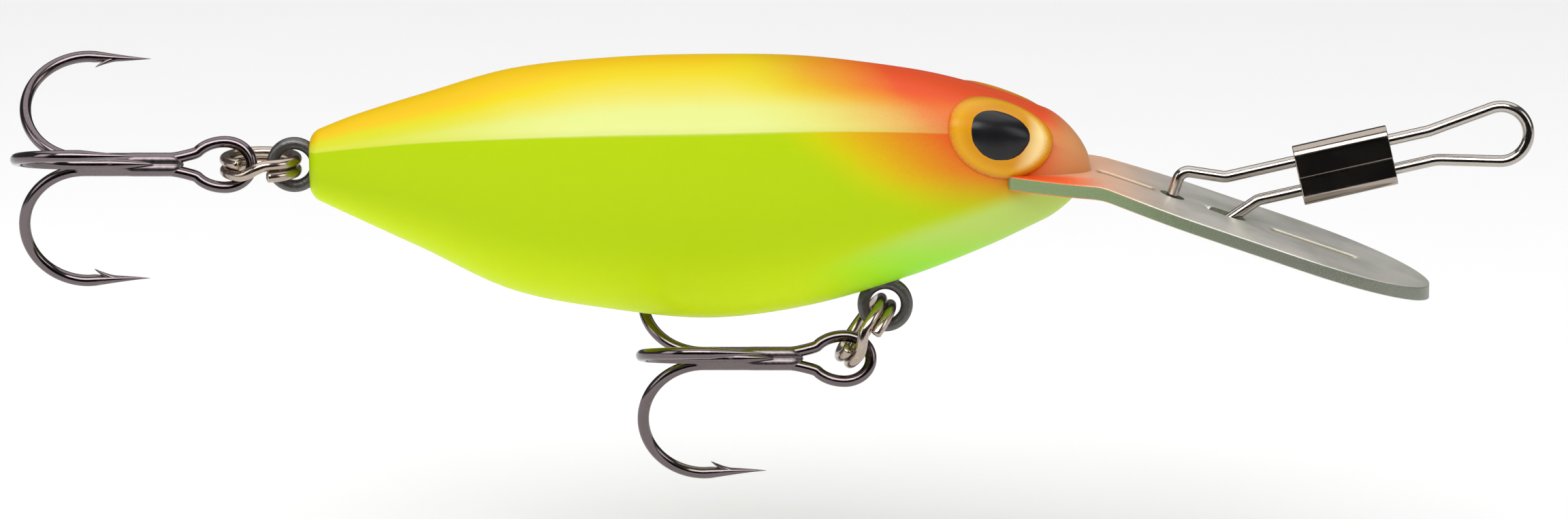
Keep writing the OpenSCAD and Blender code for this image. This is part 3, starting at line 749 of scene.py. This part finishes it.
def lip_columns():
    """Places along X at which the lip has a row, crowded at the holes, the corners and the tip."""
    quarter = np.linspace(0, math.pi / 2, 14)
    x = np.concatenate([
        np.linspace(TONGUE_BACK, LIP_BACK - 0.01, 8),
        LIP_BACK + ROOT_CORNER * (1 - np.cos(np.linspace(0, math.pi / 2, 8))),
        np.linspace(LIP_BACK + 0.6, TIP_FROM, 110),
        HOLE_X + HOLE_R * np.sin(np.linspace(-math.pi / 2, math.pi / 2, 25)),
        SLOT_BACK_X - HOLE_R * np.cos(quarter), SLOT_FRONT_X + HOLE_R * np.sin(quarter),
        TIP_FROM + (TIP_X - TIP_FROM) * np.sin(np.linspace(0, math.pi / 2, 60))])
    x = np.unique(np.round(x, 4))
    return x[np.concatenate([[True], np.diff(x) > 0.012])]


def groove_sink(x, y, depth, grooves):
    """How far the pressed grooves sink a face at a point: each is a flat-bottomed channel along X
    with eased ends."""
    sink = np.zeros(np.broadcast(x, y).shape)
    for start, end in grooves:
        ends = (np.clip((x - start) / GROOVE_EASE, 0, 1)
                * np.clip((end - x) / GROOVE_EASE, 0, 1))
        sink = np.maximum(sink, depth * ends * np.exp(-(np.abs(y) / GROOVE_HALF) ** 4))
    return sink


def lip_side(side, thick, groove):
    """Half of the lip: the upper face, a rounded edge, the lower face and the wall of the holes,
    as one closed ring for each place along X."""
    x = lip_columns()
    inner = hole_half(x)
    outer = np.maximum(lip_half(x), inner + 0.02)
    share = np.concatenate([np.linspace(0, 0.12, 14), np.linspace(0.12, 1, 22)[1:]])
    flat = np.maximum(outer - LIP_ROUND, inner + 0.01)
    across = inner[:, None] + (flat - inner)[:, None] * share
    upper = lip_top(x)[:, None]
    lower = upper - thick / math.cos(BLADE_ANGLE)
    top = upper - groove_sink(x[:, None], across, groove, GROOVES)
    low = lower - groove_sink(x[:, None], across, groove, GROOVES[::2])
    bend = np.linspace(0, math.pi / 2, 7)[1:]
    rim_y = (np.minimum(outer, flat + LIP_ROUND) - LIP_ROUND)[:, None] + LIP_ROUND * np.sin(bend)
    rim_top = upper - LIP_ROUND * (1 - np.cos(bend))
    rim_low = lower + LIP_ROUND * (1 - np.cos(bend))
    y = np.concatenate([across, rim_y, rim_y[:, ::-1], across[:, ::-1]], axis=1)
    z = np.concatenate([top, rim_top, rim_low[:, ::-1], low[:, ::-1]], axis=1)
    points = np.stack([np.broadcast_to(x[:, None], y.shape), side * y, z], axis=-1)
    rows, columns = y.shape
    faces = np.array(grid_faces(rows, columns, wrap_columns=True)).reshape(rows - 1, columns, 4)
    keep = faces[:, :-1].reshape(-1, 4).tolist() + faces[inner[:-1] + inner[1:] > 0, -1].tolist()
    keep += [tuple(range(columns))[::-1], tuple((rows - 1) * columns + k for k in range(columns))]
    return points.reshape(-1, 3), keep


# ---------------------------------------------------------------- hooks and rings

SHANK_OFFSET = 0.612
HOOK_LENGTH, HOOK_REACH, BITE_LENGTH, HOOK_ROLL = 18.7, 11.7, 11.1, 15.0
# Degrees between neighbouring hooks
SPREAD = 120
BEND_CIRCLE = (HOOK_REACH - SHANK_OFFSET) / 2
EYE_HALF_LENGTH, EYE_HALF_HEIGHT, EYE_NECK, SINGLE_FROM = 2.38, 2.05, 4.6, 9.6
RING_R, RING_TURNS, RING_START = 3.2, 1.86, 285.0
# Degrees about Y by which each split ring turns from its plane
RING_TURN = {"tail": 0.0, "belly": -54.0}


def hook_curve(wire):
    """One hook in its own plane from the shank to the point: a half circle, then the point,
    which bows slightly outwards. Gives distance behind the eye, distance from the shank's axis,
    and the radius of the wire."""
    bend_at = HOOK_LENGTH - BEND_CIRCLE - wire / 2
    a = np.linspace(0, math.pi, 72)
    t = np.linspace(0, 1, 60)[1:]
    back = np.concatenate([bend_at + BEND_CIRCLE * np.sin(a),
                           bend_at - (BITE_LENGTH - BEND_CIRCLE) * t])
    out = np.concatenate([SHANK_OFFSET + BEND_CIRCLE * (1 - np.cos(a)),
                          HOOK_REACH - 0.25 * np.sin(math.pi / 2 * t)])
    taper = np.concatenate([np.ones(len(a)), 1 - 0.97 * np.clip((t - 0.10) / 0.90, 0, 1)])
    return np.stack([back, out], axis=1), wire / 2 * taper


def hook_place(curve, degrees):
    """Turns a hook's plane about the shank; 0 faces -Y and 90 faces +Z."""
    a = math.radians(degrees)
    shift = SHANK_OFFSET / 2
    return np.stack([-curve[:, 0], -curve[:, 1] * math.cos(a) - shift, curve[:, 1] * math.sin(a)],
                    axis=1)


def barb(wire, degrees, across):
    """The barb: a spike cut up from the inner side of the point, leaning back to the bend."""
    bend_at = HOOK_LENGTH - BEND_CIRCLE - wire / 2
    point = BITE_LENGTH - BEND_CIRCLE
    t = np.linspace(0, 1, 18)
    back = bend_at - 0.46 * point + (0.46 * point - 0.55) * t
    out = HOOK_REACH - 0.16 - 0.16 * t - (wire / 2 + 0.34) * t**1.5
    path = hook_place(np.stack([back, out], axis=1), degrees)
    return tube(path, wire * (0.30 * (1 - t) ** 0.75 + 0.012), across, 16)


def smooth_through(path):
    """A smooth path through a few points, by cutting its corners three times and spacing it
    evenly."""
    for _ in range(3):
        a = 0.75 * path[:-1] + 0.25 * path[1:]
        b = 0.25 * path[:-1] + 0.75 * path[1:]
        path = np.concatenate([path[:1], np.stack([a, b], axis=1).reshape(-1, path.shape[1]),
                               path[-1:]])
    return spaced(path, 0.2)


def treble_points(wire, eye):
    """The double hook with its eye, and the third hook, each as points and faces."""
    curve, radius = hook_curve(wire)
    turn = np.radians(np.linspace(150, -150, 49))
    stretch = np.where(np.cos(turn) < 0, 1.25, 1.0)
    ring = np.stack([EYE_HALF_LENGTH * np.cos(turn) * stretch, 0 * turn,
                     EYE_HALF_HEIGHT * np.sin(turn)], axis=1)
    neck = np.array([[EYE_NECK, SHANK_OFFSET]])
    legs = np.concatenate([curve[:1], neck + (1.2, 0), neck])
    middle = smooth_through(np.concatenate([hook_place(legs, SPREAD), ring,
                                            hook_place(legs[::-1], -SPREAD)]))
    path = np.concatenate([hook_place(curve, SPREAD)[:0:-1], middle,
                           hook_place(curve, -SPREAD)[1:]])
    thick = np.concatenate([radius[:0:-1], np.full(len(middle), wire / 2), radius[1:]])
    pair = join([tube(path, thick, ACROSS_Y), barb(wire, SPREAD, ACROSS_Y),
                 barb(wire, -SPREAD, ACROSS_Y)])
    t = np.linspace(0, 1, 16)
    start = hook_place(np.stack([SINGLE_FROM - 3.2 + 4.2 * t, SHANK_OFFSET * (0.85 + 0.15 * t)],
                                axis=1), 0)
    path = np.concatenate([start, hook_place(curve, 0)])
    taper = wire / 2 * (0.10 + 0.90 * np.sin(math.pi / 2 * t))
    single = join([tube(path, np.concatenate([taper, radius]), ACROSS_Z),
                   barb(wire, 0, ACROSS_Z)])
    return [(turned(points, "x", -HOOK_ROLL) + eye, faces) for points, faces in (pair, single)]


def braze_points(wire, eye):
    """Brazing metal along the shank: a bar whose section is two lobes behind the eye and three
    where the third hook joins, so it fills the grooves between the wires, and it fades into the
    eye's neck and into the bends."""
    bend_at = HOOK_LENGTH - BEND_CIRCLE - wire / 2
    behind = np.linspace(EYE_NECK - 0.9, bend_at + 1.2, 70)[:, None]
    turn = round_angles(72)[None, :]
    ends = np.clip(np.minimum(behind - behind[0], behind[-1] - behind) / 1.3, 0, 1)
    third = np.clip((behind - SINGLE_FROM + 1.6) / 2.2, 0, 1)
    third = third * third * (3 - 2 * third)
    flat = 0.59 + 0.48 * np.abs(np.sin(turn)) ** 1.3
    lobes = 0.98 - 0.15 * np.cos(3 * turn + math.pi)
    reach = (flat * (1 - third) + lobes * third) * np.sqrt(ends * (2 - ends))
    centre = -SHANK_OFFSET / 2 * third
    points = np.stack(np.broadcast_arrays(-behind, centre - reach * np.cos(turn),
                                          reach * np.sin(turn)), axis=-1)
    return (turned(points, "x", -HOOK_ROLL).reshape(-1, 3) + eye,
            grid_faces(*points.shape[:2], wrap_columns=True))


def split_ring_points(wire):
    """Split ring hinged at the origin: two flat coils, and a wire that crosses between them in
    the gap between its ends."""
    a = np.linspace(RING_START, RING_START + 360 * RING_TURNS, 300)
    gap = 360 * (2 - RING_TURNS)
    t = np.clip((a - RING_START - 360 + gap) / gap, 0, 1)
    rise = (wire / 2 + 0.015) * (t * t * (6 - 4 * t) - 1)
    a = np.radians(a)
    path = np.stack([-RING_R + RING_R * np.cos(a), RING_R * np.sin(a), rise], axis=1)
    return tube(path, wire / 2, ACROSS_Z)


# ---------------------------------------------------------------- hangers

HANGER_R, HANGER_HOLE_R, HANGER_THICK = 2.5, 1.4, 1.2
ANCHOR_R, POST_R, STRAP_HALF = 2.1, 1.06, 1.1
# Where the strap starts from the ring's middle and ends from the anchor's
STRAP_FROM, STRAP_TO = 1.55, 1.15
# The middles of each hanger's ring outside the body and of its anchor inside
HANGERS = {"tail": (np.array([TAIL_X - 1.4, 0.0, -2.8]), np.array([TAIL_X + 5.8, 0.0, -2.8])),
           "belly": (np.array([-55.1, 0.0, -15.6]), np.array([-54.3, 0.0, -8.6]))}


def squared(wave, bow):
    """A sine or cosine raised to a power with its sign kept, which fills a circle's corners."""
    return np.sign(wave) * np.abs(wave) ** bow


def round_ring(centre, outer, hole, thick):
    """A ring in the XZ plane whose section is an oval as wide as the metal between the hole and
    the rim, carried once round the centre."""
    turn = round_angles(96)[:, None]
    around = round_angles(32)[None, :]
    wide = (outer - hole) / 2
    out = (outer + hole) / 2 + wide * squared(np.cos(around), 0.9)
    y = thick / 2 * squared(np.sin(around), 0.8)
    points = np.stack(np.broadcast_arrays(out * np.cos(turn), y, out * np.sin(turn)), axis=-1)
    return (points + centre).reshape(-1, 3), grid_faces(*points.shape[:2], True, True)


def strap(start, end):
    """The strap between a hanger's two rings: a rounded bar whose oval section narrows slightly
    at its middle."""
    t = np.linspace(0, 1, 24)[:, None]
    around = round_angles(32)[None, :]
    run = unit(end - start)
    across = np.array([run[2], 0.0, -run[0]])
    waist = STRAP_HALF * (0.96 - 0.08 * np.sin(math.pi * t))
    cap = np.sqrt(np.clip(1 - (2 * t - 1) ** 20, 0, 1))
    wide = waist * cap * squared(np.cos(around), 0.7)
    deep = HANGER_THICK / 2 * cap * squared(np.sin(around), 0.7)
    centre = start + (end - start) * t
    points = centre[:, None, :] + wide[..., None] * across + deep[..., None] * np.array([0, 1, 0])
    return points.reshape(-1, 3), grid_faces(*points.shape[:2], wrap_columns=True)


def hanger_points(ring_at, anchor_at):
    """A hanger: the outer ring, the strap and the anchor ring round the moulded post."""
    toward = unit(anchor_at - ring_at)
    return join([round_ring(ring_at, HANGER_R, HANGER_HOLE_R, HANGER_THICK),
                 round_ring(anchor_at, ANCHOR_R, POST_R, HANGER_THICK),
                 strap(ring_at + toward * STRAP_FROM, anchor_at - toward * STRAP_TO)])


# ---------------------------------------------------------------- link

LOOP_R, STRAND_GAP, STRAND_ANGLE = 2.5, 2.7, math.radians(13)
# The lip's thickness and the air that the wire keeps below it
LIP_SHEET, WIRE_GAP = 1.2, 0.3
SLEEVE_MID = np.array([-13.9, -2.85])
SLEEVE_LENGTH, SLEEVE_HEIGHT, SLEEVE_WIDTH, SLEEVE_WALL = 8.6, 5.5, 2.1, 0.35


def blade_point(s, up):
    """A point s along the blade from its bend and up from its upper face, in X and Z."""
    c, n = math.cos(BLADE_ANGLE), math.sin(BLADE_ANGLE)
    return np.array([BEND_X + s * c + up * n, BEND_Z - s * n + up * c])


def strand_point(run, side):
    """A point on a strand: run along the link from the sleeve's middle, side 1 upper, -1 lower."""
    c, n = math.cos(STRAND_ANGLE), math.sin(STRAND_ANGLE)
    return SLEEVE_MID + run * np.array([c, n]) + side * STRAND_GAP / 2 * np.array([-n, c])


def rounded(before, corner, after, radius):
    """Arc that rounds a corner between two points."""
    u, v = unit(before - corner), unit(after - corner)
    half = math.acos(float(u @ v)) / 2
    centre = corner + unit(u + v) * radius / math.sin(half)
    start = corner + u * radius / math.tan(half) - centre
    end = corner + v * radius / math.tan(half) - centre
    turn = math.pi - 2 * half
    t = np.linspace(0, 1, 17)[:, None]
    return centre + (start * np.sin(turn * (1 - t)) + end * np.sin(turn * t)) / math.sin(turn)


def link_path(wire):
    """The link's wire from its hidden end in the sleeve, through the lip and round the loop."""
    under = -LIP_SHEET - WIRE_GAP - wire / 2
    corners = [(strand_point(-0.15, 1), 0), (strand_point(-10.7, 1), 2.0),
               (blade_point(HOLE_S, 2.4), 1.0), (blade_point(HOLE_S, under), 1.0),
               (blade_point(11.3, under), 1.0), (strand_point(-8.3, -1), 1.6),
               (strand_point(8.1, -1), 4.0)]
    low, high = corners[-1][0], strand_point(8.0, 1)
    low_turn = math.atan2(low[1], low[0]) + math.acos(LOOP_R / np.linalg.norm(low))
    high_turn = math.atan2(high[1], high[0]) - math.acos(LOOP_R / np.linalg.norm(high))
    turn = np.linspace(low_turn, high_turn, 80)
    loop = LOOP_R * np.stack([np.cos(turn), np.sin(turn)], axis=1)
    parts = [corners[0][0][None]]
    for i in range(1, 6):
        parts.append(rounded(corners[i - 1][0], corners[i][0], corners[i + 1][0], corners[i][1]))
    parts.append(rounded(corners[5][0], low, loop[0], 4.0))
    parts.append(loop)
    parts.append(rounded(loop[-1], high, strand_point(0.15, 1), 3.0))
    parts.append(strand_point(0.15, 1)[None])
    flat = spaced(np.concatenate(parts), 0.12)
    return np.stack([flat[:, 0], 0 * flat[:, 0], flat[:, 1]], axis=1)


def sleeve_points():
    """Sleeve: an oval band of sheet. Its wall's section, with rounded corners, is carried round a
    racetrack, and a fine joint runs along the near face."""
    straight = SLEEVE_HEIGHT - SLEEVE_WIDTH
    radius = SLEEVE_WIDTH / 2 - SLEEVE_WALL / 2
    arc = np.linspace(0, math.pi, 30)
    side = np.concatenate([np.linspace(-1, -0.06, 14), np.linspace(-0.05, 0.05, 15),
                           np.linspace(0.06, 1, 14)])[1:-1] * straight / 2
    y = np.concatenate([radius * np.cos(arc), np.full(len(side), -radius),
                        -radius * np.cos(arc), np.full(len(side), radius)])
    z = np.concatenate([straight / 2 + radius * np.sin(arc), -side,
                        -straight / 2 - radius * np.sin(arc), side])
    bow, flat = np.stack([np.cos(arc), np.sin(arc)], 1), np.tile([1.0, 0.0], (len(side), 1))
    out = np.concatenate([bow, -flat, -bow, flat])
    joint = np.zeros(len(y))
    joint[len(arc):len(arc) + len(side)] = 0.12 * np.exp(-((side - 0.15) / 0.05) ** 2)
    half, wall, soft = SLEEVE_LENGTH / 2, SLEEVE_WALL / 2, 0.10
    turn = np.linspace(0, math.pi / 2, 5)
    corners = []
    for cx, cw, start in ((half, wall, 0), (-half, wall, 1), (-half, -wall, 2), (half, -wall, 3)):
        a = turn + start * math.pi / 2
        corners.append(np.stack([cx - math.copysign(soft, cx) + soft * np.cos(a),
                                 cw - math.copysign(soft, cw) + soft * np.sin(a)], axis=1))
    ring = np.concatenate(corners)
    run, off = ring[:, 0], ring[:, 1]
    depth = off[None, :] - joint[:, None] * (off > 0)[None, :]
    py = y[:, None] + out[:, 0:1] * depth
    pz = z[:, None] + out[:, 1:2] * depth
    px = np.broadcast_to(run[None, :], py.shape)
    c, n = math.cos(STRAND_ANGLE), math.sin(STRAND_ANGLE)
    points = np.stack([SLEEVE_MID[0] + px * c - pz * n, py, SLEEVE_MID[1] + px * n + pz * c],
                      axis=-1)
    return (points.reshape(-1, 3),
            grid_faces(len(y), len(ring), wrap_rows=True, wrap_columns=True))


# ---------------------------------------------------------------- operators

def settings(group):
    """A group's settings, with lengths in millimetres and colours as tuples."""
    values = {key: getattr(group, key) for key in type(group).__annotations__}
    return types.SimpleNamespace(**{key: value / MM if isinstance(value, float) else tuple(value)
                                    for key, value in values.items()})


def joint_place(body):
    """The place in millimetres of the joint that a body moves on."""
    return next(np.array(joint["pos_m"]) / MM for joint in frame["joints"]
                if joint["child"] == body)


class LureShells(bpy.types.Operator):
    """Build the two painted body shells"""
    bl_idname = "lure.shells"
    bl_label = "Body shells"

    def execute(self, context):
        body = settings(context.scene.lure_body)
        paint = body_paint(body)
        for tag, side in SIDES:
            piece = write_mesh(f"shell_{tag}", *shell_half(side, body))
            place(piece, paint, "lure", "body_paint", f"{tag}_shell")
        return {"FINISHED"}


class LureEyes(bpy.types.Operator):
    """Build the raised eyes and their pupils"""
    bl_idname = "lure.eyes"
    bl_label = "Eyes"

    def execute(self, context):
        eyes = settings(context.scene.lure_eyes)
        amber, black = eye_paint(eyes), pupil_gloss(eyes.pupil)
        for tag, side in SIDES:
            iris = oval_patch(eyes.long_axis / 2, eyes.short_axis / 2, *eye_rings(), eyes.height,
                              side)
            place(write_mesh(f"eye_{tag}", *iris), amber, "lure", "body_paint")
            pupil = oval_patch(eyes.pupil_long, eyes.pupil_short, *pupil_rings(), eyes.height,
                               side, PUPIL_SHIFT, PUPIL_WAVE)
            place(write_mesh(f"pupil_{tag}", *pupil), black, "lure", "body_paint")
        return {"FINISHED"}


class LureLip(bpy.types.Operator):
    """Build the pressed metal lip"""
    bl_idname = "lure.lip"
    bl_label = "Lip"

    def execute(self, context):
        metal = settings(context.scene.lure_metal)
        halves = [lip_side(side, metal.lip_thickness, metal.groove_depth) for _, side in SIDES]
        piece = write_mesh("diving_lip", *join(halves), sharp=50.0)
        place(piece, lip_metal(metal.lip_metal), "lure", "lip_metal", "lip")
        return {"FINISHED"}


class LureRings(bpy.types.Operator):
    """Build the split rings"""
    bl_idname = "lure.rings"
    bl_label = "Split rings"

    def execute(self, context):
        metal = settings(context.scene.lure_metal)
        finish = bright_wire("ring_metal", metal.ring_metal, 0.16, 0.5)
        for end, turn in RING_TURN.items():
            points, faces = split_ring_points(metal.ring_wire)
            points = turned(points, "y", turn) + joint_place(f"{end}_ring")
            piece = write_mesh(f"split_ring_{end}", points, faces)
            place(piece, finish, f"{end}_ring", "ring_nickel", f"{end}_split_ring")
        return {"FINISHED"}


class LureHooks(bpy.types.Operator):
    """Build the treble hooks"""
    bl_idname = "lure.hooks"
    bl_label = "Treble hooks"

    def execute(self, context):
        metal = settings(context.scene.lure_metal)
        wire = metal.hook_wire
        plating = bright_wire("black_nickel", metal.black_nickel, 0.10, 0.25)
        filler = grained_metal("braze_metal", metal.black_nickel, 0.30, 2500.0, 0.00005)
        for end in ("tail", "belly"):
            eye = joint_place(f"{end}_treble")
            pair, single = treble_points(wire, eye)
            for kind, shape, finish, slot in (("pair", pair, plating, "hook_nickel"),
                                              ("single", single, plating, "hook_nickel"),
                                              ("braze", braze_points(wire, eye), filler, "braze")):
                piece = write_mesh(f"{end}_treble_{kind}", *shape)
                place(piece, finish, f"{end}_treble", slot, f"{end}_hook_{kind}")
        return {"FINISHED"}


class LureLink(bpy.types.Operator):
    """Build the line link and its sleeve"""
    bl_idname = "lure.link"
    bl_label = "Line link"

    def execute(self, context):
        metal = settings(context.scene.lure_metal)
        wire = tube(link_path(metal.link_wire), metal.link_wire / 2, ACROSS_Y, 28)
        place(write_mesh("line_link", *wire), bright_wire("link_nickel", metal.nickel, 0.10, 0.4),
              "link", "link_nickel", "link_wire_loop")
        sleeve = write_mesh("link_sleeve_band", *sleeve_points(), sharp=60.0)
        # The sleeve's darker nickel is a painted dark reflection
        place(sleeve, bright_wire("sleeve_nickel", metal.nickel_with_dark_reflection, 0.10, 0.05),
              "sleeve", "link_nickel", "link_sleeve")
        return {"FINISHED"}


class LureHangers(bpy.types.Operator):
    """Build the two hook hangers"""
    bl_idname = "lure.hangers"
    bl_label = "Hook hangers"

    def execute(self, context):
        metal = settings(context.scene.lure_metal)
        rough = grained_metal("hanger_metal", metal.grey_metal, 0.42, 2600.0, 0.00016)
        for end, spots in HANGERS.items():
            piece = write_mesh(f"hook_hanger_{end}", *hanger_points(*spots))
            place(piece, rough, "lure", "hanger_metal", f"{end}_hanger")
        return {"FINISHED"}


class LureInside(bpy.types.Operator):
    """Give the ballast and the rattle balls their finishes"""
    bl_idname = "lure.inside"
    bl_label = "Ballast and rattle balls"

    def execute(self, context):
        lead = grained_metal("cast_lead", (0.20, 0.21, 0.23), 0.55, 900.0, 0.0001)
        steel = grained_metal("ball_steel", (0.55, 0.55, 0.57), 0.16, 1500.0, 0.00001)
        for node, finish in (("ballast_weight", lead), ("rattle_ball_rear", steel),
                             ("rattle_ball_middle", steel), ("rattle_ball_front", steel)):
            for slot in frame["nodes"][node].material_slots:
                slot.material = finish
        return {"FINISHED"}


# ---------------------------------------------------------------- stage

# The point in metres that the lights and the camera face
AIM = Vector((-0.0642, 0.0, -0.0115))
FLOOR_Z, FLOOR_REACH = -0.045, 3.0
FLAG_X, FLAG_Y, FLAG_TOP, FLAG_LIFT = (-0.6, 0.5), (-0.085, -0.42), 0.13, 0.0005
# Name, place, width and height, power in watts
LIGHTS = (("key", (-0.16, -0.58, 0.52), (0.80, 0.40), 5.6),
          ("top", (-0.06, 0.25, 1.10), (1.8, 1.4), 11.5),
          ("left", (-0.85, -0.35, 0.30), (0.35, 0.5), 1.3),
          ("right", (0.75, -0.35, 0.28), (0.35, 0.5), 1.3))
WORLD_GLOW = 0.12
FOCAL, SENSOR, CAMERA_RISE, VIEW_WIDTH = 200.0, 36.0, math.radians(12.0), 0.1409


def facing(thing, location):
    """Puts a light or a camera at a place, turned to the aim."""
    piece = bpy.data.objects.new(thing.name, thing)
    piece.location = location
    piece.rotation_euler = (AIM - piece.location).to_track_quat("-Z", "Y").to_euler()
    bpy.context.scene.collection.objects.link(piece)
    return piece


def sheet(name, corners, faces, cloth, tints, **shine):
    """A sheet of the stage, in metres, with a faintly mottled matt material."""
    mesh = bpy.data.meshes.new(name)
    mesh.from_pydata(corners, [], faces)
    finish = Finish(cloth)
    dark, light = ((v, v, v) for v in tints)
    finish.set(Base_Color=finish.mix(finish.noise(60.0), dark, light), **shine)
    mesh.materials.append(finish.material)
    piece = bpy.data.objects.new(name, mesh)
    bpy.context.scene.collection.objects.link(piece)
    return piece


class LureStage(bpy.types.Operator):
    """Set the floor, the black sheet that only reflections show, the lights and the camera"""
    bl_idname = "lure.stage"
    bl_label = "Stage"

    def execute(self, context):
        r = FLOOR_REACH
        ground = sheet("floor", [(-r, -r, FLOOR_Z), (r, -r, FLOOR_Z), (r, r, FLOOR_Z),
                                 (-r, r, FLOOR_Z)], [(0, 1, 2, 3)], "floor_paper", (0.94, 0.96),
                       Roughness=0.9)
        (left, right), (near, far), foot = FLAG_X, FLAG_Y, FLOOR_Z + FLAG_LIFT
        card = sheet("flag", [(left, near, foot), (right, near, foot), (right, far, foot),
                              (left, far, foot), (right, far, FLAG_TOP), (left, far, FLAG_TOP)],
                     [(0, 1, 2, 3), (3, 2, 4, 5)], "flag_cloth", (0.010, 0.016), Roughness=1.0,
                     Specular_IOR_Level=0.0)
        card.visible_camera = card.visible_diffuse = card.visible_shadow = False
        for name, location, size, power in LIGHTS:
            light = bpy.data.lights.new(name, "AREA")
            light.shape = "RECTANGLE"
            light.size, light.size_y = size
            light.energy = power
            facing(light, location)
        world = bpy.data.worlds.new("studio")
        world.use_nodes = True
        background = world.node_tree.nodes["Background"]
        background.inputs["Color"].default_value = (1.0, 1.0, 1.0, 1.0)
        background.inputs["Strength"].default_value = WORLD_GLOW
        context.scene.world = world
        context.scene.view_settings.view_transform = "Standard"
        lens = bpy.data.cameras.new("camera")
        lens.lens = FOCAL
        lens.sensor_width = SENSOR
        lens.clip_start = 0.01
        lens.clip_end = 20.0
        back = VIEW_WIDTH / 2 / math.tan(math.atan(SENSOR / 2 / FOCAL))
        context.scene.camera = facing(lens, AIM + back * Vector(
            (0.0, -math.cos(CAMERA_RISE), math.sin(CAMERA_RISE))))
        return {"FINISHED"}


class LurePanel(bpy.types.Panel):
    """Lists the lure's pieces and settings"""
    bl_idname = "VIEW3D_PT_lure"
    bl_label = "Crankbait lure"
    bl_space_type = "VIEW_3D"
    bl_region_type = "UI"
    bl_category = "Lure"

    def draw(self, context):
        for operator in OPERATORS:
            self.layout.operator(operator.bl_idname)
        for group in (context.scene.lure_body, context.scene.lure_eyes, context.scene.lure_metal):
            box = self.layout.box()
            for key in type(group).__annotations__:
                box.prop(group, key)


OPERATORS = (LureShells, LureEyes, LureLip, LureHangers, LureRings, LureHooks, LureLink,
             LureInside, LureStage)
GROUPS = {"lure_body": LureBodySettings, "lure_eyes": LureEyeSettings,
          "lure_metal": LureMetalSettings}
CLASSES = (*GROUPS.values(), *OPERATORS, LurePanel)


def register():
    """Registers the classes and hangs the settings on the scene."""
    for item in CLASSES:
        bpy.utils.register_class(item)
    for key, group in GROUPS.items():
        setattr(bpy.types.Scene, key, bpy.props.PointerProperty(type=group))


def unregister():
    """Takes the settings and classes away again."""
    for key in GROUPS:
        delattr(bpy.types.Scene, key)
    for item in reversed(CLASSES):
        bpy.utils.unregister_class(item)


def main():
    """Builds the lure."""
    register()
    bpy.ops.lure.shells()
    bpy.ops.lure.eyes()
    bpy.ops.lure.lip()
    bpy.ops.lure.hangers()
    bpy.ops.lure.rings()
    bpy.ops.lure.hooks()
    bpy.ops.lure.link()
    bpy.ops.lure.inside()
    bpy.ops.lure.stage()


if __name__ == "__main__":
    main()
